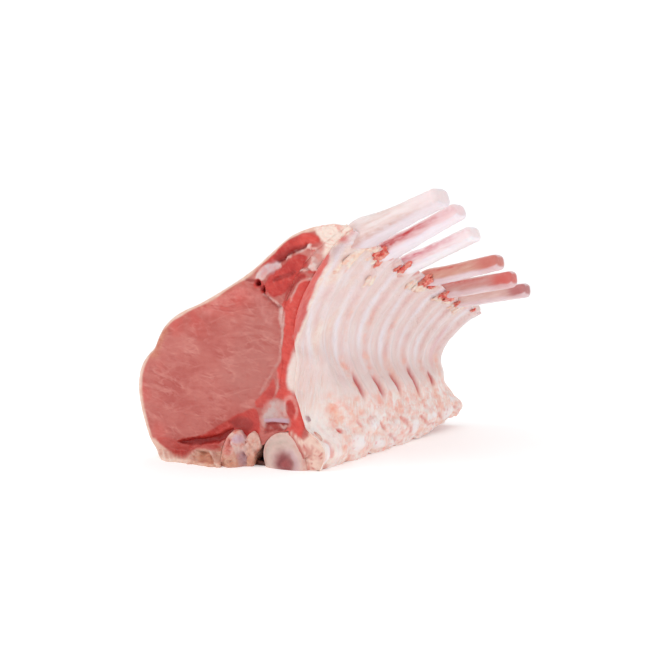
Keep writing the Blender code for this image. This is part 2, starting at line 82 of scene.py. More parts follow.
REAR_SETBACK = 7.0
REAR_LIFT = 8.6
LIFT_RUN = (112.0, 214.0)
LIFT_ACROSS = (-34.0, -6.0)
LIFT_FADE = 42.0
FOOT_NOTCH = 2.4
RIB_FRONTS = (0.65, 1.70, 2.70, 3.70, 4.70, 5.65, 6.66)
RIB_TIP_HEIGHTS = (133.6, 130.6, 122.4, 109.4, 101.7, 95.8)
RIB_TIP_X = (73.0, 70.4, 67.6, 72.0, 71.0, 71.2)
RIB_SHARE = 0.40
RIB_WIDTHS = (14.4, 13.4, 13.8, 12.6, 12.0, 11.4, 10.6)
RIB_THICKNESSES = (8.8, 8.4, 8.6, 8.0, 7.8, 7.4, 7.0)
RIB_BASE_SIZE = 0.82
RIB_SWELL = 0.03
RIB_SKIN = 1.5
RIB_START = 16.0
RIDGE_HEIGHT = 2.8
RIDGE_SHARE = 0.24
LAST_RIB_SHORT = 2.0
VERTEBRA_ENDS = (6.0, 32.0, 60.0, 94.0, 125.0, 157.0, 187.0, 211.0)
VERTEBRA_LUMP = 3.0
DISC_FRONT = -0.6
VERTEBRA_OUTLINE = [
    (-30, 0), (-30.8, 6), (-29.6, 11.5), (-27, 15.5), (-23, 18.4), (-18, 20), (-11, 21), (-4.4, 20.4),
    (0.6, 16), (1.4, 8.6), (1.4, 0)]
DISC_OUTLINE = [
    (-29.6, 0), (-30.6, 6), (-29.6, 11.2), (-27, 15), (-23, 18), (-18.5, 19.4), (-14.5, 18.8), (-11, 16),
    (-8, 11), (-5.6, 6), (-4.4, 0)]
FEATHER_OUTLINE = [
    (-58, 0), (-58, 5), (-55, 12), (-51, 17.5), (-46, 18.6), (-42, 15), (-40, 11.5), (-37.6, 15.5),
    (-34.5, 17), (-32.4, 14), (-34.4, 9), (-37, 5), (-39.5, 0)]
FEATHER_SHARE = 0.84
FEATHER_FRONT = -1.0
FEATHER_REAR_SHORT = 6.0
EYE_OUTLINE = [
    (-41, 94.5), (-33, 95.5), (-24, 91), (-17.5, 83), (-16, 72), (-17, 62), (-21, 51), (-28, 39.5),
    (-37, 30.5), (-48, 25.5), (-61, 18.5), (-78, 13.5), (-92, 11.5), (-101, 17), (-107, 28), (-109.5, 39),
    (-106, 50), (-97, 60.5), (-89, 71), (-76, 79.5), (-59, 86)]
EYE_SIDES = 34
EYE_STATIONS = 7

# The trunk: its outer contour from the ground to the top, and the hollow over the sawn bones
OUTER_CONTOUR = [
    (-101, 0), (-104, 4), (-107.5, 9), (-110, 17), (-112.4, 28), (-113, 38), (-111, 47), (-108, 53),
    (-103.6, 57.6), (-99, 61.4), (-95.6, 67), (-91, 73), (-84, 78.4), (-75, 82.6), (-65, 86), (-45, 95),
    (-30, 103), (-17, 112), (-6, 119), (6, 122.6), (18, 123.8)]
HOLLOW = [
    (-10, 21), (-18.5, 18.6), (-23, 17.2), (-27, 14.4), (-29.4, 11.6), (-31.6, 12.4), (-34.6, 15.6),
    (-37.4, 14.2), (-39.8, 11), (-42, 13.6), (-46, 17.2), (-51, 16.2), (-55, 10.8), (-57.4, 4.6),
    (-57.4, 0)]
HOLLOW_TOP = 22.0  # the wall's outer side ends above this, where the hollow begins

# How deep the relief of a cut face may go at its outline, and how much deeper further in
EDGE_DEPTH = 1.3
CUT_DEPTH = 9.0

# What shows in the front cut: areas as outlines, seams and clefts as lines
FOLD_END = -50.0  # the fold of fat on the ground lies to the left of this
FOLD_SIDES = (-106, -102, -96, -88, -78, -70, -64, -58, -50)
FOLD_REACH = (4, 10, 14, 13, 13, 16, 16, 14, 9)  # how far that fat stands out of the front cut there
FOLD_LEAN = 0.57  # how much of what stands out there turns to the right, and how much less per millimetre
FOLD_LEAN_CHANGE = 0.0026
BOTTOM_FAT = [
    (-115, -4), (-108, 9), (-102, 9), (-97, 5.4), (-90, 3), (-82, 2.6), (-77, 4.6), (-70, 6.8), (-62, 6),
    (-58, 8), (-54, 8), (-54, -4)]
BROWN_FAT = [(-80, -4), (-78, 2), (-73, 5.6), (-68, 6.4), (-62, 5.6), (-58, 8.4), (-54, 7), (-54, -4)]
FOLD_PIT = [(-73, 1.4), (-72, 4.2), (-66, 5), (-61, 3.4), (-63, 1.6), (-68, 1.0)]
FOLD_EDGE = [(-79, 0.6), (-76, 4.6), (-71, 6.2), (-64, 5.4), (-60, 2.6), (-58.5, 0.4)]
RIM_TAN = [
    (-64, 84), (-48, 92), (-34, 100), (-24, 106.6), (-18, 111), (-18, 107.6), (-27, 102), (-36, 96),
    (-48, 90), (-62, 83)]
RIM_BROWN = [(-106, 57), (-101, 56), (-95, 58), (-91, 65), (-87, 72), (-90, 75), (-96, 69), (-100, 61)]
LOWER_MUSCLE = [
    (-101, 9.6), (-92, 11), (-84, 8.8), (-72, 8.8), (-62, 9.8), (-56.6, 8.4), (-59, 5.4), (-68, 6.8),
    (-76, 4.2), (-82, 2.6), (-90, 3.2), (-97, 5.6)]
MULTIFIDUS = [
    (-87, 9.4), (-78, 11.8), (-70, 13.8), (-61, 18), (-53, 22.4), (-46, 26.4), (-40, 28.6), (-35, 31),
    (-31.6, 29), (-31.2, 22), (-32, 17), (-40, 13), (-48, 17), (-55, 13), (-60, 9.6), (-72, 8.8),
    (-80, 8)]
CLEFT = [
    (-86, 9), (-77, 11.4), (-68, 12.8), (-58, 15.2), (-50, 19), (-49, 17.4), (-57, 11.6), (-66, 9.6),
    (-78, 7.8)]
DEEP_RED = [(-50, 22.6), (-46, 25), (-40, 25.6), (-36, 23), (-38, 19), (-43, 18), (-48, 19.4)]
OUTER_CAP = [
    (-30, 101.4), (-24.6, 104.8), (-19.6, 107.6), (-15.4, 110.6), (-12.4, 113.2), (-10, 115.4),
    (-6.6, 117.4), (-3, 118), (1, 119.6), (6, 119.4), (10.4, 118), (10.6, 115.6), (7, 114.6), (3, 114.2),
    (-1, 112.4), (-4.6, 110.8), (-8.4, 108.2), (-12, 106.6), (-16, 106.4), (-22, 105.4), (-27, 103)]
CAP_SHADE = [
    (-15, 106.4), (-13.8, 109.6), (-9.6, 111.6), (-5, 112.8), (0, 113.8), (2.4, 113.2), (-2, 111.4),
    (-5, 110.2), (-9, 107.4)]
INNER_CAP = [
    (-22, 95), (-18.6, 99.4), (-14.4, 102), (-11, 104.4), (-7.6, 106.6), (-4.6, 109), (-1.6, 109.8),
    (1.6, 109), (4, 106.4), (3, 104), (0, 102.4), (-1, 100.4), (1.4, 99.6), (2.4, 98.2), (-1, 97),
    (-5, 95), (-8.4, 92), (-11, 90.4), (-15.4, 88.8), (-19.4, 89.6), (-21.6, 92)]
# INNER_FOLDS are creases, sunk into the relief and painted with shade
INNER_FOLDS = ([(-15.4, 97.4), (-11, 98.4), (-7, 99.8), (-3.6, 100.4)],
               [(1, 98.6), (-3, 96.8), (-7, 93.2), (-10.4, 88)])
STRANDS = ([(1.4, 98.6), (-3, 96.6), (-6.4, 93.6), (-9.6, 89.6), (-11.6, 84.6)],
           [(3.8, 100.4), (7, 101.2), (9.6, 103), (11.6, 104)], [(6.4, 108.4), (7, 111), (8.8, 111.6)])
PALE_TISSUE = [(4, 107), (6, 110), (11, 113.6), (13, 112), (12.4, 107), (11, 105), (8, 102.6), (5, 104)]
STRIP = [
    (-13, 85), (-12.2, 80), (-12.4, 74), (-13.4, 68), (-14.8, 62), (-15.8, 56.6), (-17.6, 52.6),
    (-18, 47), (-17.2, 43), (-19, 40), (-20.6, 35.4), (-17, 36.4), (-14.6, 34), (-14.2, 28), (-13, 24.8),
    (-15.8, 20.6), (-13, 17.6), (-7, 17), (-4, 24), (3, 36), (-2, 60), (6, 88), (6, 96), (-1, 96),
    (-3.6, 93), (-8, 88)]
FOOT_TISSUE = [
    (-15, 20.6), (-11, 18), (-8, 13), (-4.6, 8), (-4.4, -3), (6, -3), (8, 12), (7, 20), (-1, 22),
    (-5, 16), (-9, 19)]
SMALL_MUSCLE = [
    (-20.4, 47), (-24, 42.6), (-28, 38.8), (-32.6, 34.4), (-32.2, 31.4), (-28, 31.4), (-24.8, 33.2),
    (-22, 36.6), (-20.2, 40.4)]
GRISTLE = [
    (-27.6, 31), (-25, 33.6), (-21, 35.4), (-16.6, 35.4), (-15, 33), (-15.4, 27.4), (-13.4, 25.4),
    (-13.4, 23.6), (-18, 22.6), (-24, 23), (-28, 21), (-29.6, 24), (-28.6, 28)]
# POCKET is a hollow, sunk into the relief and painted with shade
POCKET = [
    (-28.6, 17.4), (-27.8, 21), (-25.8, 24), (-20, 24.2), (-15.2, 23.6), (-15.4, 21), (-18, 20.2),
    (-22, 20), (-25.4, 18.4)]
MEMBRANE_EDGE = [
    (-12.6, 45), (-12, 50), (-10.5, 55), (-8.5, 60), (-7, 65), (-6, 70), (6, 70), (6, 36), (-5.4, 36),
    (-7.6, 38.4), (-10.5, 40.4), (-12.4, 42.4)]
OVAL = (-11.6, 31.2, 2.8, 5.2)
PALE_STRANDS = ([(-8.4, 108.4), (-7, 109.4), (-6, 108.8)], [(-15, 104), (-13, 105.4), (-11.6, 104.6)],
                [(-3.6, 110.9), (-1, 111.1), (1.6, 111.8), (3, 112.8)],
                [(-19.8, 23.6), (-17.6, 21.4), (-15.6, 22.8)])
KNOBS = ((4.4, 113, 2.6, 1.1), (7.8, 112.6, 1.6, 0.9), (-7.2, 108.9, 1.3, 0.8), (4.6, 103.6, 2.2, 2.4),
         (0.8, 101.2, 2.2, 0.9), (6, 106.4, 1.2, 1.6))
CAP_WEDGE = [(-26, 99), (-21, 104.6), (-12, 105.6), (-18, 101)]
CAP_FAT = [
    (-28, 97.6), (-25.4, 102.2), (-22, 104.6), (-16, 105.6), (-12.4, 106), (-11.6, 104.8), (-14.4, 102.8),
    (-18.6, 101.2), (-22, 98.6), (-24.4, 97.4)]
TOP_FAT = [(8, 122), (11, 117), (13, 113), (12, 106), (20, 108), (34, 121), (34, 128), (8, 127)]
EYE_SEAM = [
    (-24, 90), (-20.6, 88), (-17, 86.6), (-14, 83), (-13.4, 77), (-14, 70), (-15.6, 62), (-16.8, 57),
    (-20, 52), (-24, 46.6), (-30, 38.6)]
SEAM_FORK = [(-17.6, 50), (-18.2, 44), (-19.6, 39.4)]
STRIP_FORK = [(9, 99.4), (5, 97.8), (1, 96.4), (-2.6, 94.8), (-4.8, 92), (-6.6, 88.8), (-7, 86.6)]
# VESSELS are holes. They, DARK_LINE and CAP_LINE are sunk into the relief and painted with shade
VESSELS = ((-26.5, 96.2, 2.0, 1.7), (-23.2, 92.4, 1.4, 2.5))
DARK_LINE = [(-34, 97.6), (-29, 97), (-25, 94), (-22.6, 89), (-19.4, 86), (-14.6, 84)]
CAP_LINE = [(-13, 106.6), (-9.6, 108.2), (-7.4, 110), (-4.6, 111), (-1.6, 111.8), (1, 112.8), (3, 114)]
NERVE = ((-26.4, 24.8), (-20, 25.3), (-13.6, 25.2), 1.05)
EYE_GLOW = [(-66, 84), (-50, 92), (-38, 95), (-33, 90), (-40, 84), (-54, 82)]
# The line of a painted highlight along the wet top edge of the eye
EYE_HIGHLIGHT = [(-60, 82), (-50, 88.5), (-40, 92), (-31, 90.5), (-25, 85), (-21.5, 78)]
EYE_PALE = [(-44, 34), (-26, 42), (-18, 56), (-16, 72), (-19, 84), (-30, 78), (-44, 62), (-52, 46)]

# What shows on the chest side, at places in rib pitches and millimetres up the rib: slits with their half
# lengths and lean, rounded lumps over the backbone, torn and warm patches with their half sizes, and clefts
# where the bones of the backbone meet
SLITS = ((1.81, 16, 7, 0.002), (2.73, 13.5, 6.5, -0.005), (3.68, 14, 6.5, 0.001), (4.75, 14, 9.5, 0.005),
         (5.79, 13, 5.5, 0.012))
LUMPS = ((0.2, -19, 7, 5), (1.25, -14, 8, 6), (1.95, -7, 10, 4.5), (2.15, -18, 9, 5), (2.95, -10, 8, 4),
         (2.9, -20, 6, 3.5), (3.95, -14, 10, 5.5), (4.9, -12, 9, 5.5), (5.15, -21, 6, 3.5), (6.0, -15, 11, 6),
         (6.7, -9, 5, 4))
TORN_PATCHES = ((0.88, 96, 2.8, 10), (0.66, 86, 1.5, 4.5), (1.25, 102, 8, 2.0), (1.86, 84, 1.6, 4),
                (1.60, 97, 2, 5), (2.64, 96, 3, 3.5), (3.50, 85, 1.4, 4.5), (3.74, 86, 4.2, 4.5),
                (4.18, 88, 5, 2.8), (4.80, 81, 3, 3), (5.30, 77.5, 6, 1.8), (5.72, 75, 1.0, 3.6),
                (6.10, 69, 3.6, 1.6), (6.1, 75.5, 6, 2.2))
WARM_PATCHES = ((1.66, 28, 4, 8, 0.5), (2.76, 30, 3.4, 9, 0.35), (3.05, 8, 6, 2.2, 0.9), (0.75, 6, 3, 8, 0.7),
                (1.2, 2, 8, 2, 0.6), (2.2, 1, 5, 2, 0.5), (3.2, 0, 5, 1.6, 0.5), (4.1, -2, 8, 2.4, 0.6),
                (5.3, 1, 8, 1.6, 0.6), (5.8, 12, 8, 6, 0.4), (1.35, -6, 2.6, 3, 0.6), (3.8, 50, 2, 14, 0.25),
                (2.74, 55, 2.2, 18, 0.3), (1.84, 55, 1.8, 20, 0.3))
JOINTS = ([(1.3, -3), (1.45, -8), (1.4, -12)], [(2.28, -6.5), (2.56, -13), (3.2, -21)],
          [(3.38, -7.5), (3.6, -12), (3.75, -17)], [(4.5, -10.5), (4.7, -15), (5.2, -18)],
          [(5.5, -8), (5.55, -14), (5.7, -19)], [(6.45, -13), (6.8, -19), (7.05, -24)])

# The border of the red strip on the wall's front edge, in rib pitches at places up the rib
STRIP_HEIGHTS = (34, 42, 50, 58, 70, 86, 94, 102)
STRIP_BORDER = (-0.1, 0.1, 0.32, 0.42, 0.42, 0.42, 0.3, 0.15)

# How much further the wall's front edge reaches at its foot, to meet the disc
FOOT_HEIGHTS = (0, 3, 6, 9, 11, 14, 16, 18, 21, 24)
FOOT_REACH = (1.0, 2.6, 3.4, 5.5, 7.0, 6.6, 6.0, 4.8, 2.2, 0.0)

# The swollen front of the first two knobs, and how far it stands out
FEATHER_FACE = [
    (-58.8, 0), (-58.6, 4), (-57, 9), (-54.4, 14), (-50.6, 18), (-46, 18.9), (-42.6, 17.4), (-40.6, 14.6),
    (-38.4, 17.4), (-35.8, 18.9), (-32.6, 18), (-30.8, 15), (-31, 12), (-32.8, 9), (-34.6, 6.6),
    (-36.4, 3.4), (-37.4, 0)]
KNOB_SIDES = (-58, -54, -48, -43, -39, -35, -31)
KNOB_REACH = (10, 13, 10, 5.5, 4.0, 3.0, 2.0)

# Scraps on the chest side, at places in rib pitches and millimetres up the rib: lumps of meat with how far
# out they sit and their half sizes, and flaps of membrane with their length, width, lean and curl
RED_SCRAPS = ((1.60, 101, 0.5, (5.4, 3.8, 2.2)), (1.74, 96, 0.0, (3.6, 1.6, 1.0)),
              (2.62, 99, 0.5, (4.2, 2.6, 1.8)), (2.52, 94, 0.1, (3.4, 1.8, 1.0)),
              (3.68, 93, 0.6, (5.0, 3.8, 2.2)), (3.94, 90.6, 0.3, (2.8, 2.8, 1.5)),
              (4.76, 87.4, 0.6, (5.0, 3.0, 2.0)), (5.00, 84.4, 0.5, (3.0, 5.4, 1.8)),
              (5.25, 80.4, 0.3, (2.4, 4.6, 1.4)), (5.66, 80, 0.4, (3.0, 2.2, 1.3)),
              (6.62, 76, 0.2, (2.0, 1.8, 1.0)))
FLAPS = ((0.82, 90, 13, 7.0, 0.05, 0.5), (1.50, 94, 8, 6.0, -0.2, 0.5), (1.82, 79, 8, 4.6, 0.2, 0.5),
         (2.66, 90, 8, 6.0, 0.1, 0.6), (3.46, 81, 9, 5.0, 0.2, 0.6), (3.70, 82, 9, 7.5, 0.1, 0.5),
         (4.10, 83, 6, 8, 0.4, 0.4), (4.74, 78, 8, 6.0, 0.1, 0.5), (5.66, 73, 7, 4.0, 0.1, 0.5),
         (5.95, 71, 7, 8, 0.5, 0.4))

# The colours of each bared rib's chest side, front edge, streak and last stretch, how strong the streak is
# and where round the shaft it lies, in radians, how far its foot spreads to the rear, to the outside and to
# the chest side, and how far the whole bared length bellies out to the chest side
BONE_LOOKS = (
    ((0.82, 0.73, 0.78), (0.88, 0.76, 0.75), (0.62, 0.32, 0.24), (0.90, 0.75, 0.76), 0.55, 3.65,
     (5.5, 3.6, 3.0, 0.3)),
    ((0.91, 0.84, 0.90), (0.92, 0.74, 0.75), (0.58, 0.05, 0.055), (0.91, 0.68, 0.70), 1.0, 2.9,
     (4.5, 1.5, 1.0, 0.0)),
    ((0.94, 0.91, 0.96), (0.95, 0.84, 0.85), (0.66, 0.13, 0.17), (0.93, 0.80, 0.81), 0.8, 2.8,
     (3.0, 1.5, 1.0, 0.0)),
    ((0.84, 0.68, 0.72), (0.71, 0.41, 0.33), (0.58, 0.10, 0.07), (0.62, 0.15, 0.12), 0.75, 2.7,
     (3.0, 1.0, 1.0, 1.0)),
    ((0.80, 0.61, 0.63), (0.64, 0.38, 0.35), (0.56, 0.08, 0.06), (0.66, 0.10, 0.08), 0.75, 2.7,
     (2.5, 1.0, 1.0, 1.9)),
    ((0.84, 0.67, 0.69), (0.79, 0.60, 0.56), (0.60, 0.26, 0.21), (0.46, 0.11, 0.115), 0.5, 2.9,
     (2.0, 1.0, 1.0, 1.4)),
    ((0.82, 0.64, 0.62), (0.82, 0.56, 0.52), (0.70, 0.32, 0.28), (0.82, 0.60, 0.56), 0.3, 3.2,
     (0.0, 0.0, 0.0, 0.0)),
)
TIP_ROUNDING = 2.0  # the length over which the end of a bared bone narrows
FLAP_THICKNESS = 0.6
CANAL_SIDE = -41.0  # the left side of the sheet of painted shade in the canal
CANAL_WIDTH = 12.0

# Sizes of the mesh
CAP_SPACING = 0.64
GROUND_BAND = 5.5  # the height up to which the cut faces have closer points
REAR_SPACING = 1.3
ROWS = 0.87  # the rows of points lie this share of the spacing apart
CLOSE_ROWS = 0.4
SKIN_STEP = 1.7
WALL_SIDE_POINTS = 44
BONE_ARC = 60
SHARP_ANGLE = 55.0
WALL_COLUMNS = 200
WALL_ROWS = 138
STRIP_LAYERS = 12
BONE_SIDES = 40
BONE_RINGS = 110
TIP_STRETCH = 5.0  # the last stretch of a bared bone, which has closer rings
TIP_RINGS = 15
BONE_SPACING = 0.9
BONE_STEP = 1.4


# Shapes shared with the solids


def ease(value, low, high):
    """0 below low, 1 above high, and a smooth step between."""
    share = np.clip((np.asarray(value, float) - low) / (high - low), 0, 1)
    return share * share * (3 - 2 * share)


def fade(value, low, high):
    """1 below low, 0 above high, and a smooth step between."""
    return 1 - ease(value, low, high)


def run_along(path):
    """How far along a path each of its points lies."""
    return np.concatenate([[0], np.cumsum(np.linalg.norm(np.diff(path, axis=0), axis=1))])


def smooth_curve(points, samples, closed=False):
    """Points evenly spaced along a Catmull-Rom curve through the given ones."""
    points = np.array(points, float)
    if closed:
        padded = np.vstack([points[-1], points, points[:2]])
    else:
        padded = np.vstack([2 * points[0] - points[1], points, 2 * points[-1] - points[-2]])
    steps = np.linspace(0, 1, 12, endpoint=False)[:, None]
    runs = []
    for a, b, c, d in zip(padded, padded[1:], padded[2:], padded[3:]):
        cubic = 2 * b + (c - a) * steps + (2 * a - 5 * b + 4 * c - d) * steps**2
        runs.append((cubic + (3 * b - a - 3 * c + d) * steps**3) / 2)
    dense = np.vstack([*runs, points[:1] if closed else points[-1:]])
    along = run_along(dense)
    places = np.linspace(0, along[-1], samples, endpoint=not closed)
    return np.stack([np.interp(places, along, column) for column in dense.T], axis=1)


def taper(x, z, share):
    """A point of the front cut, carried back: share is 0 at the front cut and 1 at the rear cut."""
    top = TAPER_TOP_LOIN + (TAPER_TOP_RIBS - TAPER_TOP_LOIN) * ease(x, -80, -10)
    drop = top * z * np.abs(z) / (np.abs(z) + TAPER_SOFTNESS)
    return x * (1 - TAPER_SIDE * share) - TAPER_SHIFT * share, z - share * drop


def lifted(x, along, z):
    """Heights with the rise of the backbone's chest side towards the rear cut added."""
    lift = REAR_LIFT * ease(along, *LIFT_RUN) * ease(x, *LIFT_ACROSS)
    return z + lift * np.clip(1 - z / LIFT_FADE, 0, 1)


def trunk_ring(outline, share):
    """Points of the front cut at another place along the trunk, on a plane that leans as the cuts do."""
    x, z = taper(outline[:, 0], outline[:, 1], share)
    swell = sum(size * np.sin(math.tau * waves * share + phase) for size, waves, phase in TRUNK_WAVES)
    x = x * (1 + swell)
    lean = FRONT_LEAN + (REAR_LEAN - FRONT_LEAN) * share
    return np.stack([x, TRUNK_LENGTH * share - lean * z, z], axis=1)


def ridges(pitches, length):
    """How far the wall stands out over the ribs, at places given in rib pitches and along the rib."""
    height = sum(peak(pitches - front, RIB_SHARE / 2, RIDGE_SHARE) for front in RIB_FRONTS)
    return RIDGE_HEIGHT * height * ease(length, -4, 14)


def lump_height(along):
    """1 over the middle of each bone of the backbone and 0 where two of them meet."""
    height = np.zeros_like(np.asarray(along, float))
    for start, end in zip((-20.0, *VERTEBRA_ENDS), VERTEBRA_ENDS):
        middle = (2 * np.asarray(along, float) - start - end) / (end - start)
        height = np.maximum(height, 1 - np.abs(middle) ** 3)
    return height


def wall_grid(pitches, places):
    """The chest side of the wall: x, z, the two parts of its normal, and the length up the rib.

    Both arguments are grids with a column of the wall in each row. places run from 0 on the ground to 1 at
    the top.
    """
    line = smooth_curve(CHEST_LINE, 160)
    number = np.linspace(0, 1, len(line))
    x = np.interp(places, number, line[:, 0])
    z = np.interp(places, number, line[:, 1])
    draw_in = ease(z, 8, 22) * fade(z, 38, 60)
    front = FRONT_SETBACK * peak(pitches, 0, 0.8)
    rear = REAR_SETBACK * peak(RIBS_TO_REAR - pitches, 0, 0.6)
    x, z = taper(x - (front + rear) * draw_in, z, pitches / RIBS_TO_REAR)
    steps = np.hypot(np.diff(x, axis=1), np.diff(z, axis=1))
    along = np.concatenate([np.zeros((len(x), 1)), np.cumsum(steps, axis=1)], axis=1)
    zero = np.array([np.interp(ZERO_HEIGHT, heights, lengths) for heights, lengths in zip(z, along)])
    ahead_x = np.gradient(x, axis=1)
    ahead_z = np.gradient(z, axis=1)
    size = np.hypot(ahead_x, ahead_z)
    return x, z, -ahead_z / size, ahead_x / size, along - zero[:, None]


def wall_column(pitches, samples):
    """What wall_grid gives for one column of the wall, from the ground to the top."""
    return [part[0] for part in wall_grid(np.full((1, samples), pitches), np.linspace(0, 1, samples)[None])]


def wall_place(pitches, length):
    """Where a place in rib pitches and along the rib lies along the rack."""
    spread = CHINE_PITCH - RIB_PITCH
    pitch = RIB_PITCH + spread * np.clip(-length / ZERO_HEIGHT, 0, 1)
    return pitches * pitch - RIB_SLANT * np.clip(length, 0, None)


def front_pitches(samples):
    """Where the wall starts, from the ground up: the rib pitches at which it meets the leaning front cut."""
    first = np.zeros(samples)
    for _ in range(4):
        _, z, _, _, length = wall_column(first, samples)
        first = (-FRONT_LEAN * z + RIB_SLANT * np.clip(length, 0, None)) / RIB_PITCH
    return first


def wall_thickness(length, top):
    """Thin over the backbone, full behind the ribs and thinner again where the bones are bared."""
    full = CHINE_COVER + (WALL_THICKNESS - CHINE_COVER) * ease(length, -18, 12)
    return full - (WALL_THICKNESS - WALL_TOP) * ease(length, top - WALL_TOP_RUN, top)


def rib_path(number, samples):
    """The middle line of a rib bone, from inside the wall to its sawn end."""
    middle = RIB_FRONTS[number] + RIB_SHARE / 2
    x, z, away_x, away_z, length = wall_column(middle, 80)
    depth = RIB_SKIN + RIB_BASE_SIZE * RIB_THICKNESSES[number] / 2 - RIDGE_HEIGHT
    spots = np.stack([x + away_x * depth, z + away_z * depth], axis=1)[length > RIB_START]
    spots = spots[np.linspace(0, len(spots) - 1, 9).astype(int)]
    if number < len(RIB_TIP_HEIGHTS):
        tip = np.array([RIB_TIP_X[number], RIB_TIP_HEIGHTS[number]])
        run = tip - spots[-1]
        ends = [spots[-1] + run * 0.35, spots[-1] + run * 0.7, tip]
    else:
        last = spots[-1] - spots[-2]
        ends = [spots[-1] + last / np.linalg.norm(last) * LAST_RIB_SHORT]
    path = smooth_curve(np.vstack([spots, *ends]), samples)
    return np.stack([path[:, 0], wall_place(middle, run_along(path) + RIB_START), path[:, 1]], axis=1)


def section_origin():
    """Where the sections' x = y = z = 0 lies in the part's frame, found from two of its solids."""
    outline = smooth_curve(EYE_OUTLINE, EYE_SIDES, closed=True)
    shares = np.linspace(0, 1, EYE_STATIONS)
    low_x = min(trunk_ring(outline, share)[:, 0].min() for share in shares)
    rear_y = VERTEBRA_ENDS[1] - GAP
    return np.array([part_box("loin_eye")[0].x / MM - low_x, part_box("vertebra_1")[1].y / MM - rear_y, 0.0])


ORIGIN = section_origin()


# Noise and distances, for relief and for the masks that the materials read

DIRECTIONS = np.random.default_rng(11).normal(size=(256, 3))
DIRECTIONS /= np.linalg.norm(DIRECTIONS, axis=1)[:, None]


def noise(points, size, seed=0):
    """Smooth noise, about -1 to 1, at points (n, 3), with features of about that size."""
    spots = np.asarray(points, float) / size + 31.7 * seed
    cell = np.floor(spots).astype(np.int64)
    part = spots - cell
    blend = part**3 * (part * (part * 6 - 15) + 10)
    total = np.zeros(len(spots))
    for corner in itertools.product((0, 1), repeat=3):
        at = cell + corner
        mixed = (at[:, 0] * 73856093) ^ (at[:, 1] * 19349663) ^ (at[:, 2] * 83492791)
        mixed ^= mixed >> 13
        slope = DIRECTIONS[(mixed * 2654435761 >> 9) & 255]
        weight = np.prod(np.where(corner, blend, 1 - blend), axis=1)
        total += weight * np.sum(slope * (part - corner), axis=1)
    return 1.7 * total


def layered_noise(points, size, seed=0, layers=3):
    """Noise with finer noise on it. Each use of noise has a seed of its own, so that no two are alike."""
    return sum(noise(points, size / 2**n, seed + n) / 2**n for n in range(layers))


def line_distance(points, line):
    """Distance of points (n, 2) from a polyline."""
    best = np.full(len(points), np.inf)
    for a, b in zip(line, line[1:]):
        run = b - a
        share = np.clip((points - a) @ run / (run @ run), 0, 1)
        best = np.minimum(best, np.linalg.norm(points - a - share[:, None] * run, axis=1))
    return best


def depth_inside(points, outline):
    """Distance of points (n, 2) from a closed outline, positive inside it."""
    ring = np.vstack([outline, outline[:1]])
    inside = np.zeros(len(points), bool)
    for (ax, az), (bx, bz) in zip(ring, ring[1:]):
        if az == bz:
            continue
        crosses = (points[:, 1] < az) != (points[:, 1] < bz)
        inside ^= crosses & (points[:, 0] < ax + (points[:, 1] - az) / (bz - az) * (bx - ax))
    return np.where(inside, 1, -1) * line_distance(points, ring)


def smooth_depth(points, outline):
    """Distance of points (n, 2) from the smooth closed curve through an outline, positive inside it."""
    return depth_inside(points, smooth_curve(outline, 6 * len(outline), closed=True))


def area(points, outline, soft=0.6):
    """1 inside a smooth outline, 0 outside it, with an edge about that soft."""
    return ease(smooth_depth(points, outline), -soft, soft)


def stroke(points, line, width):
    """1 along a line, fading to 0 at that distance from it."""
    return 1 - ease(line_distance(points, smooth_curve(line, 5 * len(line))), 0.2 * width, width)


def drift(points, *waves):
    """Two noises side by side, which make the outlines of places wander. Each wave is a size and a seed."""
    return np.stack([layered_noise(points, size, seed) for size, seed in waves], axis=1)


def patches(points, size, seed, low, high, squeeze=1.0):
    """Soft patches from 0 to 1 of about that size, taller than wide with a squeeze below 1."""
    return ease(noise(points * [1, 1, squeeze], size, seed), low, high)


def most(*values):
    """The greatest of several values at each point."""
    return functools.reduce(np.maximum, values)


def peak(value, middle, width):
    """1 at the middle, falling off on both sides within about that width."""
    return np.exp(-(((value - middle) / width) ** 2))


def oval_reach(points, x, z, wide, high):
    """How far out points (n, 2) lie from the middle of an oval: 1 on the oval with those half sizes."""
    return np.hypot((points[:, 0] - x) / wide, (points[:, 1] - z) / high)


def bell(points, x, z, wide, high, power=1):
    """1 in the middle of an oval, falling off round it, and more sharply with a higher power."""
    return np.exp(-((((points[:, 0] - x) / wide) ** 2 + ((points[:, 1] - z) / high) ** 2) ** power))


# Meshes


def make_piece(name, points, faces, material, slot, nodes=(), masks=None, second=None):
    """A piece of the dressed rack from points in section millimetres, which rides on the root.

    second, if given, is another material and the faces from which number on have it.
    """
    points = np.array(points, float)
    points[:, 2] = np.maximum(points[:, 2], 0)
    mesh = bpy.data.meshes.new(name)
    mesh.from_pydata(((points + ORIGIN) * MM).tolist(), [], faces)
    shape = bmesh.new()
    shape.from_mesh(mesh)
    bmesh.ops.recalc_face_normals(shape, faces=shape.faces)
    shape.to_mesh(mesh)
    shape.free()
    mesh.shade_smooth()
    mesh.set_sharp_from_angle(angle=math.radians(SHARP_ANGLE))
    for key, values in (masks or {}).items():
        layer = mesh.attributes.new(key, "FLOAT", "POINT")
        layer.data.foreach_set("value", np.asarray(values, np.float32))
    mesh.materials.append(material)
    if second:
        mesh.materials.append(second[0])
        for face in mesh.polygons[second[1]:]:
            face.material_index = 1
    piece = bpy.data.objects.new(name, mesh)
    bpy.context.scene.collection.objects.link(piece)
    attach(piece, "root")
    if nodes:
        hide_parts(*nodes)
    return piece


def numbers(rings, sides, start=0):
    """The numbers of points that lie in rings, one ring a row."""
    return start + np.arange(rings * sides).reshape(rings, sides)


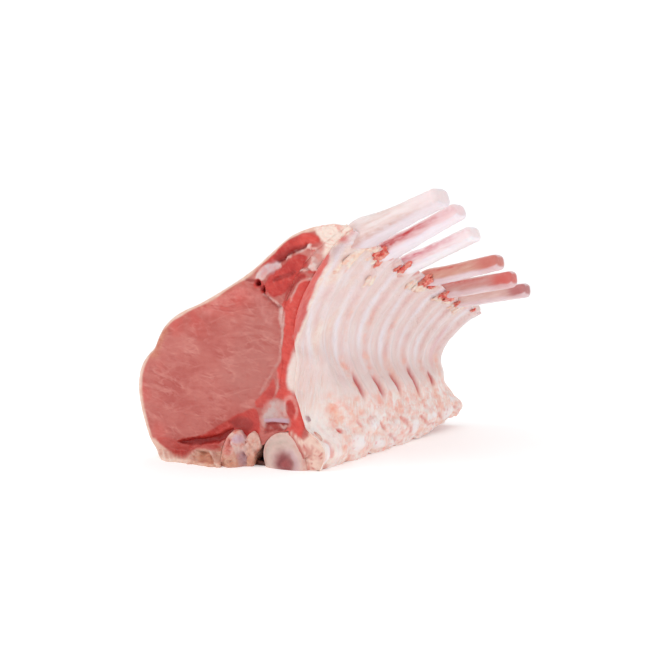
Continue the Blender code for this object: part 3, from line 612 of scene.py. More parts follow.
def ring_faces(rows):
    """Four-sided faces between closed rings that follow each other, each given as a row of point numbers."""
    ahead = np.roll(rows, -1, axis=1)
    return np.stack([rows[:-1], ahead[:-1], ahead[1:], rows[1:]], axis=-1).reshape(-1, 4).tolist()


def capped_faces(rings, sides):
    """The faces of a closed tube, with its two ends."""
    rows = numbers(rings, sides)
    return ring_faces(rows) + [rows[0].tolist(), rows[-1].tolist()]


def with_floor(arc):
    """An outline closed along the ground."""
    return np.vstack([arc, smooth_curve([arc[-1], (arc[-1] + arc[0]) / 2, arc[0]], 26)[1:-1]])


def filled(outline, spacing):
    """Points and triangles that fill a closed outline. The outline's own points come first, in order."""
    low = outline.min(axis=0)
    high = outline.max(axis=0)
    close = low[1] + GROUND_BAND
    rows = np.concatenate([np.arange(low[1], close, spacing * CLOSE_ROWS),
                           np.arange(close, high[1], spacing * ROWS)])
    columns = np.arange(low[0], high[0], spacing)
    x, z = np.meshgrid(columns, rows)
    x = x + np.where((np.arange(len(rows)) % 2) & (rows > close), spacing / 2, 0)[:, None]
    inner = np.stack([x.ravel(), z.ravel()], axis=1)
    inner = inner[depth_inside(inner, outline) > 0.55 * spacing]
    points = np.vstack([outline, inner])
    count = len(outline)
    border = [(n, (n + 1) % count) for n in range(count)]
    found = delaunay_2d_cdt([Vector(point) for point in points], border, [list(range(count))], 1, 1e-5, True)
    place = {}
    for number, sources in enumerate(found[3]):
        for source in sources:
            place[number] = source
    faces = np.array([[place[corner] for corner in face] for face in found[2]])
    middles = points[faces].mean(axis=1)
    return points, faces[depth_inside(middles, outline) > 0].tolist()


# Materials


class Look:
    """A material in the making: its node tree, its shader, and short names for the nodes that it needs."""

    def __init__(self, name):
        self.material = bpy.data.materials.new(name)
        self.material.use_nodes = True
        self.tree = self.material.node_tree
        self.shader = self.tree.nodes["Principled BSDF"]

    def feed(self, socket, value):
        if isinstance(value, bpy.types.NodeSocket):
            self.tree.links.new(value, socket)
        else:
            socket.default_value = value

    def node(self, kind, settings=None, **inputs):
        """A node with its settings and its inputs, each a value or the output that feeds it."""
        made = self.tree.nodes.new("ShaderNode" + kind)
        for key, value in (settings or {}).items():
            setattr(made, key, value)
        for key, value in inputs.items():
            self.feed(made.inputs[key.replace("_", " ")], value)
        return made

    def mask(self, name):
        return self.node("Attribute", {"attribute_name": name}).outputs["Fac"]

    def maths(self, operation, a, b=0.0, clamp=False):
        made = self.node("Math", {"operation": operation, "use_clamp": clamp})
        self.feed(made.inputs[0], a)
        self.feed(made.inputs[1], b)
        return made.outputs[0]

    def times(self, a, b):
        return self.maths("MULTIPLY", a, b)

    def mixed(self, factor, a, b, strength=None):
        """Colour a turning to colour b as the factor, times the strength, goes from 0 to 1.

        A factor given as a name is the mask of that name.
        """
        if isinstance(factor, str):
            factor = self.mask(factor)
        if strength is not None:
            factor = self.times(factor, strength)
        made = self.node("Mix", {"data_type": "RGBA"})
        for number, value in ((0, factor), (6, a), (7, b)):
            self.feed(made.inputs[number], (*value, 1) if isinstance(value, (tuple, list)) else value)
        return made.outputs[2]

    def layered(self, color, layers):
        """A colour with others laid over it, each a (factor, colour) or (factor, strength, colour)."""
        for factor, *strength, over in layers:
            color = self.mixed(factor, color, over, *strength)
        return color

    def place(self):
        return self.node("TexCoord").outputs["Object"]

    def grain(self, size, detail=2.0, stretch=(1, 1, 1), turn=(0, 0, 0), low=0.3, high=0.7, distortion=0.0):
        """Noise from 0 to 1 with features of that size in millimetres, longer along axes with a stretch."""
        turned = self.node("Mapping", Vector=self.place(), Rotation=[math.radians(angle) for angle in turn])
        shaped = self.node("Mapping", Vector=turned.outputs[0], Scale=[1 / part for part in stretch])
        made = self.node("TexNoise", Vector=shaped.outputs[0], Scale=1 / (size * MM), Detail=detail,
                         Distortion=distortion)
        return self.node("MapRange", Value=made.outputs[0], From_Min=low, From_Max=high).outputs[0]

    def wavy_lines(self, size, turn, level=0.5, width=0.06, stretch=4.6):
        """Long thin waving lines, where a stretched noise passes one level."""
        field = self.grain(size, 2.5, (stretch, 1, 1), (0, turn, 0), 0, 1, distortion=0.35)
        away = self.maths("ABSOLUTE", self.maths("SUBTRACT", field, level))
        return self.node("MapRange", {"interpolation_type": "SMOOTHSTEP"}, Value=away, From_Min=0.0,
                         From_Max=width, To_Min=1.0, To_Max=0.0).outputs[0]

    def finished(self, color, roughness, subsurface, heights, coat=0.35, coat_roughness=0.18, depth=3.0,
                 specular=0.45):
        """The material with its colour, the gloss of a moist surface and the light that goes a little way in.

        heights are the layers of its bump, each a (height, depth in millimetres) pair.
        """
        values = {"Roughness": roughness, "Subsurface Weight": subsurface, "Subsurface Scale": depth * MM,
                  "Subsurface Radius": (1.0, 0.42, 0.32), "Coat Weight": coat,
                  "Coat Roughness": coat_roughness, "Specular IOR Level": specular}
        for name, value in values.items():
            self.shader.inputs[name].default_value = value
        self.feed(self.shader.inputs["Base Color"], color)
        normal = None
        for height, relief in heights:
            made = self.node("Bump", Height=height, Strength=1.0, Distance=relief * MM)
            if normal:
                self.feed(made.inputs["Normal"], normal)
            normal = made.outputs[0]
        self.feed(self.shader.inputs["Normal"], normal)
        return self.material


def meat_material():
    """The cut faces and the fat cover: masks choose between lean, red muscle, fat, gristle and painted shade
    in hollows.
    """
    look = Look("cut_meat")
    grain = look.grain
    blotches = grain(9, 3, (2.0, 1, 1), (0, -15, 0), 0.34, 0.66)
    mottle = grain(2.4, 3, (2.2, 1, 1), low=0.35, high=0.68)
    some = grain(9, 2, low=0.42, high=0.62)
    others = grain(7, 2, low=0.40, high=0.64, turn=(0, 50, 0))
    ridges_left = look.times(look.wavy_lines(8, -10, width=0.055), some)
    lean = look.layered(look.mixed(blotches, (0.545, 0.155, 0.13), (0.46, 0.09, 0.075)), [
        (mottle, 0.3, (0.60, 0.19, 0.155)),
        ("pale", 0.6, (0.49, 0.165, 0.14)),
        ("blush", (0.66, 0.07, 0.055)),
        # a painted highlight along the top of the eye
        ("painted_highlight", 0.32, (0.84, 0.40, 0.36)),
        (look.times(look.wavy_lines(8, -10, 0.43), some), 0.36, (0.40, 0.055, 0.045)),
        (look.times(look.wavy_lines(12, 6, 0.56), others), 0.36, (0.42, 0.06, 0.045)),
        (ridges_left, 0.24, (0.74, 0.34, 0.29)),
        (look.times(look.wavy_lines(10, 14, 0.46, 0.05), others), 0.18, (0.74, 0.34, 0.29)),
        (look.times(look.wavy_lines(5.0, 4, 0.45, stretch=2.8), others), 0.26, (0.41, 0.07, 0.055)),
        (look.times(look.wavy_lines(4.2, -24, 0.53, stretch=2.6), some), 0.22, (0.72, 0.31, 0.265))])
    red = look.layered(look.mixed(grain(5, 3), (0.46, 0.022, 0.018), (0.62, 0.06, 0.045)), [
        ("glow", 0.45, (0.82, 0.10, 0.075)),
        (grain(2.2, 3, (1, 1, 2.4), (0, 40, 0), 0.5, 0.8, 0.8), 0.24, (0.80, 0.24, 0.20)),
        (grain(2.6, 3, (2.6, 1, 1), (0, -20, 0), 0.5, 0.72, 0.6), 0.5, (0.46, 0.018, 0.014)),
        # deep: deep red muscle, and painted shade in the cap's shade band, the inner folds and the pocket
        ("deep", (0.28, 0.014, 0.012))])
    strands = grain(2.4, 3, (3, 1, 1), (0, -25, 0), 0.48, 0.66, 0.8)
    pale = look.layered(look.mixed(grain(4, 3), (0.84, 0.63, 0.53), (0.76, 0.46, 0.36)), [
        ("stringy", 0.8, (0.93, 0.78, 0.70)),
        (look.times(strands, look.mask("stringy")), (0.82, 0.42, 0.36))])
    cover = look.mixed(grain(16, 4, high=0.75), (0.86, 0.67, 0.57), (0.83, 0.56, 0.46))
    cover = look.mixed(grain(3.5, 3, (1, 5, 1), low=0.5, high=0.8), cover, (0.80, 0.46, 0.38), 0.3)
    color = look.layered(lean, [
        ("fat", pale),
        ("brown", look.mixed(grain(4, 3, low=0.36, high=0.64), (0.50, 0.12, 0.06), (0.67, 0.30, 0.18))),
        ("red", red),
        ("gristle", look.mixed(grain(6, 3, low=0.4, high=0.6), (0.58, 0.42, 0.40), (0.60, 0.28, 0.25))),
        ("white", look.mixed(grain(3, 3, low=0.4, high=0.65), (0.76, 0.56, 0.52), (0.78, 0.36, 0.31))),
        ("skin", (0.84, 0.69, 0.64)),
        ("lavender", (0.55, 0.36, 0.43)),
        ("cover", cover),
        # painted shade in the creases, vessel holes and cleft, under the nerve and in the hollow over the
        # backbone
        ("dark", (0.24, 0.006, 0.006))])
    heights = [(ridges_left, 0.14), (mottle, 0.22), (grain(0.9, 2), 0.1)]
    return look.finished(color, 0.45, 0.12, heights, 0.18, 0.16, 2.0, 0.3)


def wall_material():
    """The membrane of the chest side over the ribs, the spaces between them and the backbone."""
    look = Look("chest_membrane")
    grain = look.grain
    along = grain(1.7, 3, (1, 1, 6), (12, 0, 0), 0.35, 0.7, 0.4)
    across = grain(4.5, 4, (1, 1.8, 1), low=0.38, high=0.66, distortion=0.3)
    streaks = grain(2.4, 3, (1, 1, 3), low=0.55, high=0.75, distortion=0.8)
    torn = look.mixed(grain(6, 3), (0.60, 0.02, 0.012), (0.76, 0.06, 0.035))
    color = look.layered(look.mixed(grain(10, 3), (0.84, 0.70, 0.67), (0.83, 0.63, 0.61)), [
        ("low", (0.95, 0.85, 0.81)),
        # rib: the paler colour over each rib, with a painted highlight band just ahead of its front
        ("rib", (0.87, 0.80, 0.84)),
        (look.times(along, look.mask("peach")), (0.82, 0.52, 0.43)),
        ("groove", (0.74, 0.42, 0.40)),
        (look.times(across, look.mask("chine")),
         look.mixed(grain(7, 3), (0.93, 0.53, 0.39), (0.88, 0.31, 0.23))),
        ("lump", (0.93, 0.87, 0.88)),
        ("flap", look.mixed(grain(3, 3, low=0.4, high=0.6), (0.95, 0.84, 0.70), (0.92, 0.64, 0.48))),
        ("scorch", (0.80, 0.36, 0.22)),
        ("torn", look.mixed(streaks, torn, (0.80, 0.30, 0.24), 0.2)),
        ("bloody", (0.74, 0.09, 0.065)),
        ("purple", (0.34, 0.12, 0.15)),
        ("slit", (0.57, 0.08, 0.08))])
    return look.finished(color, 0.36, 0.15, [(along, 0.35), (grain(1.6, 2), 0.12)], 0.28, 0.12, 2.0)


BONE_GRAIN = (0, 15, 12)  # the turn that lays the bared bones along the first axis


def bared_bone_material(chest, edge, streak, end):
    """Scraped bone: the colours of its chest side, its front edge, the streak there and its last stretch."""
    look = Look("bared_bone")
    grain = look.grain
    long = grain(2.2, 3, (7, 1, 1), BONE_GRAIN, 0.35, 0.7)
    specks = grain(1.3, 4, (4, 1, 1), BONE_GRAIN, 0.1, 0.6)
    color = look.layered(look.mixed(long, chest, [0.94 * part for part in chest]), [
        ("edge", look.mixed(long, edge, [0.6 * a + 0.4 * b for a, b in zip(edge, streak)])),
        ("end", end),
        (look.times(specks, look.mask("streak")), streak),
        ("root", look.mixed(grain(3, 3), (0.66, 0.22, 0.18), (0.84, 0.56, 0.47)))])
    return look.finished(color, 0.36, 0.15, [(long, 0.2), (specks, 0.15), (grain(0.8, 2), 0.06)], depth=2.0)


def sawn_bone_material():
    """Sawn backbone: bone with red spongy marrow, cartilage in rings on the front disc, and painted shade by
    the canal.
    """
    look = Look("sawn_backbone")
    grain = look.grain
    pores = look.node("TexVoronoi", Scale=1 / (1.1 * MM), Vector=look.place()).outputs["Distance"]
    walls = look.maths("MULTIPLY", pores, 1.3, True)
    color = look.layered(look.mixed(grain(4, 3), (0.72, 0.38, 0.31), (0.82, 0.58, 0.50)), [
        (grain(3, 3, low=0.46, high=0.66), (0.70, 0.22, 0.16)),
        ("tan", 0.8, (0.60, 0.28, 0.17)),
        ("cream", look.mixed(grain(3, 2), (0.69, 0.47, 0.42), (0.76, 0.55, 0.50))),
        ("ring", look.mixed(grain(3, 2), (0.52, 0.42, 0.35), (0.60, 0.42, 0.37))),
        ("marrow", look.mixed(walls, (0.34, 0.07, 0.06), (0.62, 0.30, 0.24))),
        ("core", look.mixed(grain(3, 3), (0.20, 0.02, 0.027), (0.31, 0.06, 0.063))),
        ("lavender", (0.60, 0.40, 0.47)),
        ("blood", (0.58, 0.06, 0.05)),
        # hollow: near-black painted shade where the bones face the canal
        ("hollow", (0.07, 0.014, 0.010))])
    return look.finished(color, 0.4, 0.12, [(grain(2, 3), 0.3), (pores, 0.06)], 0.25, depth=2.0)


def scrap_material(name, first, second, size):
    """Torn tissue in two colours, in patches of about that size; also the painted shade in the canal."""
    look = Look(name)
    color = look.mixed(look.grain(size, 4, low=0.38, high=0.62), first, second)
    return look.finished(color, 0.34, 0.12, [(look.grain(size / 2, 3), 0.3)])


def stage_material():
    """The pale floor, which glows a little so that it stays even."""
    look = Look("pale_stage")
    look.feed(look.shader.inputs["Base Color"], look.mixed(look.grain(400, 2), (0.93,) * 3, (0.92,) * 3))
    look.shader.inputs["Roughness"].default_value = 0.7
    look.shader.inputs["Specular IOR Level"].default_value = 0.2
    look.shader.inputs["Emission Color"].default_value = (1, 1, 1, 1)
    look.shader.inputs["Emission Strength"].default_value = 0.26
    return look.material


# The trunk


def wall_outside(samples):
    """The outer side of the wall in the front cut, from the top down to the hollow over the backbone."""
    count = 90
    x, z, away_x, away_z, length = wall_column(front_pitches(count), count)
    thick = wall_thickness(length, length[-1]) - 1.0
    line = np.stack([x + away_x * thick, z + away_z * thick], axis=1)
    return smooth_curve(line[line[:, 1] > HOLLOW_TOP][::-1][::6], samples)


def trunk_outline():
    """The closed outline of the trunk in the front cut, and how many of its points are its outer contour."""
    outer = smooth_curve(OUTER_CONTOUR, 190)
    base = smooth_curve([HOLLOW[-1], (-78, 0), (-98, 0)], 20)[1:]
    return np.vstack([outer, wall_outside(WALL_SIDE_POINTS), smooth_curve(HOLLOW, 62), base]), len(outer)


def cut_masks(flat, points, edge, seed):
    """What shows at each point of a cut face, and how far the face stands out there.

    flat holds x and z in the front cut, points the places themselves, which only steer the noise, and edge
    how far in from the outer contour they lie.
    """
    x, z = flat.T
    wander = drift(points, (6, seed), (6, seed + 5))
    calm = np.where(x < FOLD_END, 0.35 + 0.65 * ease(z, 3, 9), 1)
    fine = layered_noise(points, 2.2, seed + 9) * calm
    spots = flat + (0.5 * wander + 0.25 * fine[:, None]) * calm[:, None]
    loose = flat + 1.6 * wander * calm[:, None]
    brown = most(0.8 * area(loose, BROWN_FAT, 1.6) * ease(fine, -0.5, 0.6),
                 0.55 * area(loose, RIM_BROWN, 2.0), 0.4 * area(loose, RIM_TAN, 1.4) * ease(fine, -0.8, 0.4))
    rim_width = 2.6 + 1.0 * noise(points, 14, seed + 2) + 2.2 * ease(-x, 96, 108)
    rim = fade(edge, 0.5 * rim_width, rim_width)
    top_fat = area(spots, TOP_FAT, 1.2)
    foot = area(spots, FOOT_TISSUE, 0.8)
    fat = most(rim, area(spots, BOTTOM_FAT, 1.0), top_fat, foot * ease(fine, -1.0, 0.0))
    red = np.zeros(len(flat))
    relief = 0.9 * (1 - np.exp(-edge / 4)) + 0.3 * layered_noise(points, 16, seed + 3)
    for outline, strength, rise in ((OUTER_CAP, 1.0, 0.5), (INNER_CAP, 1.0, 1.3), (MULTIFIDUS, 0.9, -0.8),
                                    (SMALL_MUSCLE, 0.8, 0.2), (STRIP, 1.0, 0.5), (LOWER_MUSCLE, 0.5, -0.3)):
        depth = smooth_depth(spots, outline)
        red = most(red, strength * ease(depth, -0.6, 0.6))
        relief += rise * ease(depth, -0.6, 2.5)
    for strand in STRANDS:
        amount = stroke(spots, strand, 1.1)
        red = most(red, 0.9 * amount)
        relief += 0.5 * amount
    gristle = area(loose, GRISTLE, 1.8)
    pocket = area(spots, POCKET)
    cleft = area(spots, CLEFT, 0.7)
    seam = most(stroke(spots, EYE_SEAM, 1.2) * (0.3 + 0.5 * ease(z, 56, 70)),
                0.9 * stroke(spots, [(-13.4, 83), (-13.6, 75)], 2.2), 0.3 * stroke(spots, SEAM_FORK, 1.1),
                0.75 * stroke(spots, STRIP_FORK, 1.0))
    seam *= 0.75 + 0.25 * ease(fine, -0.6, 0.6)
    depth = smooth_depth(spots, CAP_FAT)
    frayed = spots + 0.4 * fine[:, None]
    cap_fat = most(ease(depth, -0.6, 0.6), *(0.85 * stroke(frayed, line, 1.2) for line in PALE_STRANDS))
    relief += 0.4 * ease(depth, 0, 2)
    for knob in KNOBS:
        reach = oval_reach(loose, *knob) + 0.3 * fine
        cap_fat = most(cap_fat, fade(reach, 0.75, 1.05))
        relief += 0.8 * np.sqrt(np.clip(1 - reach**2, 0, None))
    cap_fat = most(cap_fat, 0.5 * area(spots, PALE_TISSUE, 1.6))
    # Painted shade: near-black along the creases of DARK_LINE and CAP_LINE, in the vessel holes, the cleft
    # and a painted shadow under the nerve
    dark = most(0.55 * stroke(spots, DARK_LINE, 0.9), 0.85 * stroke(spots, CAP_LINE, 0.9))
    relief += -0.8 * stroke(spots, DARK_LINE, 1.6) - 1.3 * stroke(spots, CAP_LINE, 1.6)
    fold = most(*(stroke(spots, line, 1.7) for line in INNER_FOLDS))
    relief += 0.45 * red * layered_noise(points, 5, seed + 13) - 0.9 * fold
    for vessel in VESSELS:
        reach = oval_reach(spots, *vessel)
        dark = most(dark, fade(reach, 0.75, 1.05))
        red = most(red, fade(reach, 1.2, 1.7))
        cap_fat = cap_fat * ease(reach, 1.1, 1.5)
        relief -= 3.5 * fade(reach, 0.2, 1.0)
    *nerve_line, nerve_radius = NERVE
    reach = line_distance(flat, np.array(nerve_line))
    nerve = fade(reach, 0.85 * nerve_radius, 1.1 * nerve_radius)
    shadow = stroke(flat + [0, 1.6], nerve_line, 0.9)
    relief += 1.3 * np.sqrt(np.clip(nerve_radius**2 - reach**2, 0, None)) - 2.0 * cleft - 1.5 * pocket
    relief += 0.5 * gristle + 0.14 * fine - 0.5 * stroke(spots, EYE_SEAM, 1.6)
    bloody = foot * (0.1 * ease(-fine, 0.1, 0.9) + 0.5 * ease(wander[:, 0], 0.0, 0.6))
    red = most(most(red * (1 - foot), bloody) * (1 - gristle), 0.8 * pocket * ease(fine, -0.8, 0.3))
    oval = oval_reach(spots, *OVAL)
    halo = 0.45 * ease(oval, 0.95, 1.15) * fade(oval, 1.35, 1.7) * ease(spots[:, 1], 25, 28)
    membrane = area(spots, MEMBRANE_EDGE, 1.6)
    pit = area(spots, FOLD_PIT, 0.9)
    relief += 0.7 * top_fat * layered_noise(points, 3, seed + 12)
    relief += (1.6 * stroke(spots, FOLD_EDGE, 1.8) - 0.9 * pit) * (x < FOLD_END)
    relief -= 1.5 * fade(edge, 0, 2.4) ** 2
    masks = {
        "fat": fat,
        "brown": most(brown, 0.8 * pit) * (1 - 0.8 * stroke(spots, FOLD_EDGE, 1.4)),
        "red": red * (1 - top_fat) * (1 - membrane),
        "skin": membrane,
        "stringy": 0.95 * top_fat + 0.25 * foot * (1 - top_fat),
        "glow": most(area(loose, STRIP, 1.5), fade(np.hypot(x - 5, z - 116), 3, 8)),
        # deep: the deep red muscle of DEEP_RED, with painted shade in CAP_SHADE, in the inner folds and in
        # the pocket
        "deep": most(0.8 * area(spots, DEEP_RED, 1.6), 0.65 * area(spots, CAP_SHADE, 1.4), 0.5 * fold,
                     0.4 * fade(oval, 0.7, 1.1), 0.6 * pocket),
        "gristle": gristle * (1 - pocket),
        "white": most(0.85 * seam, cap_fat, halo) * (1 - nerve) * (1 - membrane),
        "lavender": most(nerve, 0.5 * pocket * ease(-fine, 0.25, 0.8), 0.5 * area(loose, CAP_WEDGE, 1.6)),
        # painted shade in creases, holes, the cleft and under the nerve
        "dark": most(dark, 0.75 * cleft, 0.8 * shadow * (1 - nerve)),
        "blush": most(0.7 * area(loose, EYE_GLOW, 8),
                      0.5 * patches(points, 11, seed + 4, -0.3, 0.7) * fade(edge, 2, 24)),
        "pale": area(loose, EYE_PALE, 7),
        # the painted highlight along the top of the eye
        "painted_highlight": stroke(loose, EYE_HIGHLIGHT, 4.5) * (0.6 + 0.4 * fine),
        "cover": np.zeros(len(flat)),
    }
    return masks, relief


def lean_of(x):
    """How much of what stands out of the front cut at the ground turns to the right: more at the left."""
    return FOLD_LEAN - FOLD_LEAN_CHANGE * x


def ground_fold(flat, points):
    """How far the fat that lies on the ground comes out of the front cut."""
    spots = flat + 0.5 * drift(points, (6, 31), (3, 32))
    shelf = fade(spots[:, 1] - 0.8 * stroke(spots, FOLD_EDGE, 2.4), 1.4, 4.6)
    reach = np.interp(flat[:, 0], FOLD_SIDES, FOLD_REACH) * (flat[:, 0] < FOLD_END)
    return shelf * reach * (1 + 0.12 * layered_noise(points, 6, 33))


def build_trunk(material):
    """The loin: both cut faces with their muscles, seams and fat, and the fat cover between them."""
    outline, outer_count = trunk_outline()
    count = len(outline)
    points, faces, masks, total = [], [], {}, 0
    for share, spacing, seed, outward in ((0.0, CAP_SPACING, 1, -1), (1.0, REAR_SPACING, 21, 1)):
        flat, triangles = filled(outline, spacing)
        placed = trunk_ring(flat, share)
        if share == 0:
            fold = ground_fold(flat, placed)
            placed += np.stack([lean_of(flat[:, 0]) * fold, -fold, 0 * fold], axis=1)
        cut, relief = cut_masks(flat, placed, line_distance(flat, outline[:outer_count]), seed)
        within = ease(depth_inside(flat, outline), -0.1, 1.5)
        placed[:, 1] += outward * np.maximum(relief, -EDGE_DEPTH - CUT_DEPTH * within)
        points.append(placed)
        faces += (np.array(triangles) + total).tolist()
        for key, values in cut.items():
            masks.setdefault(key, []).append(values)
        total += len(flat)
    shares = np.linspace(0, 1, int(TRUNK_LENGTH / SKIN_STEP))[1:-1]
    skin = np.array([trunk_ring(outline, share) for share in shares])
    around = np.roll(skin, -1, axis=1) - np.roll(skin, 1, axis=1)
    normal = np.cross(np.gradient(skin, axis=0), around)
    normal /= np.linalg.norm(normal, axis=2)[..., None]
    flat_skin = skin.reshape(-1, 3)
    swell = 0.9 * layered_noise(flat_skin, 24, 40) + 0.3 * layered_noise(flat_skin, 6, 44) - 0.6
    ends = np.minimum(ease(shares, 0, 0.03), fade(shares, 0.97, 1))
    outer = ease(np.arange(count), 0, 12) * fade(np.arange(count), outer_count - 6, outer_count + 2)
    skin = skin + normal * (swell.reshape(skin.shape[:2]) * ends[:, None] * outer[None])[..., None]
    points.append(skin.reshape(-1, 3))
    front = np.arange(count)
    faces += ring_faces(np.vstack([front, numbers(len(shares), count, total), len(points[0]) + front]))
    # The skin that lines the hollow over the backbone is painted with shade
    inside = (front > outer_count + WALL_SIDE_POINTS + 2) & (outline[:, 0] > FOLD_END)
    on_skin = {"cover": 1.0, "dark": np.tile(0.9 * inside, len(shares))}
    masks = {key: np.concatenate([*values, np.zeros(len(flat_skin)) + on_skin.get(key, 0)])
             for key, values in masks.items()}
    nodes = ("fat_cover", "loin_eye", "lower_muscle", "outer_cap_muscle", "inner_cap_muscle",
             "multifidus_muscle", "seam_muscle", "arch_bone")
    return make_piece("loin", np.vstack(points), faces, material, "lean_meat", nodes, masks)


# The rib wall


def wall_masks(points, pitches, length, top):
    """Masks and relief of the wall's chest side at places in rib pitches and along the rib."""
    sheet = np.stack([pitches * RIB_PITCH, length], axis=1)
    wander = drift(points, (6, 61), (6, 65))
    spots = sheet + 0.8 * wander
    spread = 0.05 * noise(points, 26, 60) + 0.014 * noise(points, 6, 59)
    high = ease(length, 18, 40)
    past_fronts = [pitches + spread - front for front in RIB_FRONTS]
    # rib: a band just ahead of each rib's front that is a painted highlight, and the paler colour over the
    # rear half of the rib
    rib = most(*(most(peak(past, -0.14, 0.09), 0.45 * peak(past, 0.3, 0.16)) for past in past_fronts))
    groove = most(*(most(peak(past, 0.05, 0.06), 0.4 * peak(past, -0.27, 0.06)) for past in past_fronts))
    hollow = most(*(peak(past, 0.03, 0.09) for past in past_fronts))
    rib = rib * patches(points, 12, 58, -1.2, 0.3, 0.4)
    veils = patches(points, 4.5, 53, 0.0, 0.7, 0.16) * ease(length, 4, 20)
    rib = most(rib, veils * (0.3 + 0.5 * fade(pitches, 0.9, 1.5)))
    groove *= high * patches(points, 6, 62, -0.9, 0.5, 0.3) * (0.4 + 0.2 * ease(pitches, 1.8, 2.6))
    band = most(fade(length, 6, 15) * ease(pitches, 0.35, 0.7),
                0.8 * hollow * fade(length, 24, 40) * ease(pitches, 1.2, 1.6))
    slit = 0
    for place, middle, half, lean in SLITS:
        across = (pitches - place - lean * (length - middle)) * RIB_PITCH
        slit = most(slit, peak(across, 0, 1.45) * np.exp(-((np.abs(length - middle) / half) ** 4)))
    slit = slit * patches(points, 5, 64, -1.4, -0.5)
    lump = raised = 0
    for place, middle, wide, long in LUMPS:
        reach = oval_reach(spots, place * RIB_PITCH, middle, wide, long)
        raised = most(raised, np.sqrt(np.clip(1 - reach**2, 0, None)))
        lump = most(lump, fade(reach, 0.35, 1.0))
    lump = lump * patches(points, 5, 54, -1.0, 0.1, 1.4)
    lines = [[(place * RIB_PITCH, middle) for place, middle in line] for line in JOINTS]
    joints = most(*(stroke(spots, line, 1.7) for line in lines)) * patches(points, 4, 66, -0.7, 0.4)
    vein = fade(oval_reach(sheet, 2, 1, 2.6, 2.0), 0.6, 1.1)
    sore = fade(oval_reach(spots, 0.73 * RIB_PITCH, -6.8, 2.4, 1.9), 0.3, 1.2)
    halo = fade(oval_reach(spots, 0.72 * RIB_PITCH, -3, 5, 9), 0.4, 1.2)
    flap = scorch = 0
    for place, middle, wide, long in TORN_PATCHES:
        reach = oval_reach(spots, place * RIB_PITCH, middle, wide, long) + 0.25 * noise(points, 3, 57)
        flap = most(flap, fade(reach, 0.75, 0.95))
        scorch = most(scorch, ease(reach, 0.7, 0.9) * fade(reach, 0.95, 1.2))
    scorch = scorch * patches(points, 4, 56, -0.2, 0.5) * (1 - 0.5 * flap)
    frayed = ease(length, top - 7, top - 1) * patches(points, 5, 67, -0.1, 0.5)
    past = pitches + 0.04 * wander[:, 0] - np.interp(length, STRIP_HEIGHTS, STRIP_BORDER)
    strip = fade(past, -0.06, 0.0) * ease(length, 34, 42) * fade(length, 92, 100)
    cream = peak(past, 0.03, 0.05) * ease(length, 34, 44) * fade(length, 86, 96)
    warm = 0
    for place, middle, wide, long, strength in WARM_PATCHES:
        reach = oval_reach(spots, place * RIB_PITCH, middle, wide, long)
        warm = most(warm, strength * fade(reach + 0.2 * noise(points, 5, 55), 0.4, 1.2))
    bruise = bell(np.stack([spots[:, 0], length], axis=1), 0.42 * RIB_PITCH, 95, 3.2, 7)
    clot = bell(spots, 0.36 * RIB_PITCH, 102, 3.2, 2.4)
    drop = bell(spots, 0.34 * RIB_PITCH, 82, 1.4, 2.6)
    flap = most(flap, ease(length, 95, 99) * fade(pitches, 0.3, 0.45) * (1 - clot), 0.6 * cream)
    rear = peak(pitches, 6.5, 0.1) * ease(length, 14, 24) * fade(length, 48, 60)
    foot = patches(points, 4.5, 63, -0.1, 0.5) * fade(length, -6, 0) * fade(pitches, 0.25, 0.4)
    tallow = patches(points, 8, 52, 0.0, 0.6, 0.2) * fade(pitches, 1.2, 1.8)
    specks = patches(points, 1.9, 51, 0.35, 0.7) * fade(length, 0, 8) * ease(pitches, 0.3, 0.6)
    masks = {
        "flap": most(0.85 * flap, 0.35 * tallow),
        "scorch": 0.8 * scorch,
        "low": fade(length, 0, 22),
        "rib": rib * high,
        "groove": groove,
        "slit": slit,
        "peach": (1 - rib) * patches(points, 14, 63, -0.7, 0.5) * (0.35 + 0.3 * (1 - high)),
        "chine": most(0.75 * band, halo, 1.6 * warm).clip(0, 1) * (1 - 0.8 * lump),
        "lump": 0.85 * lump,
        "purple": most(0.8 * vein, 0.4 * bruise),
        "bloody": most(sore, 0.55 * joints, 0.3 * rear, 0.5 * foot, 0.9 * clot, 0.7 * drop, 0.4 * specks),
        "torn": most(0.45 * frayed, 0.9 * strip),
    }
    folds = layered_noise(points * [1, 1, 0.22], 4.5, 68)
    relief = 0.3 * folds * ease(length, -5, 15) + 0.35 * rib * high - 0.2 * groove - 1.6 * slit - 0.9 * joints
    relief += 0.85 * layered_noise(points, 6, 69) * fade(length, -4, 10) + 1.6 * raised
    relief += 0.9 * flap + 1.0 * vein - 1.8 * sore + 0.5 * layered_noise(points, 18, 70)
    relief -= 0.6 * hollow * (1 - high)
    return masks, relief


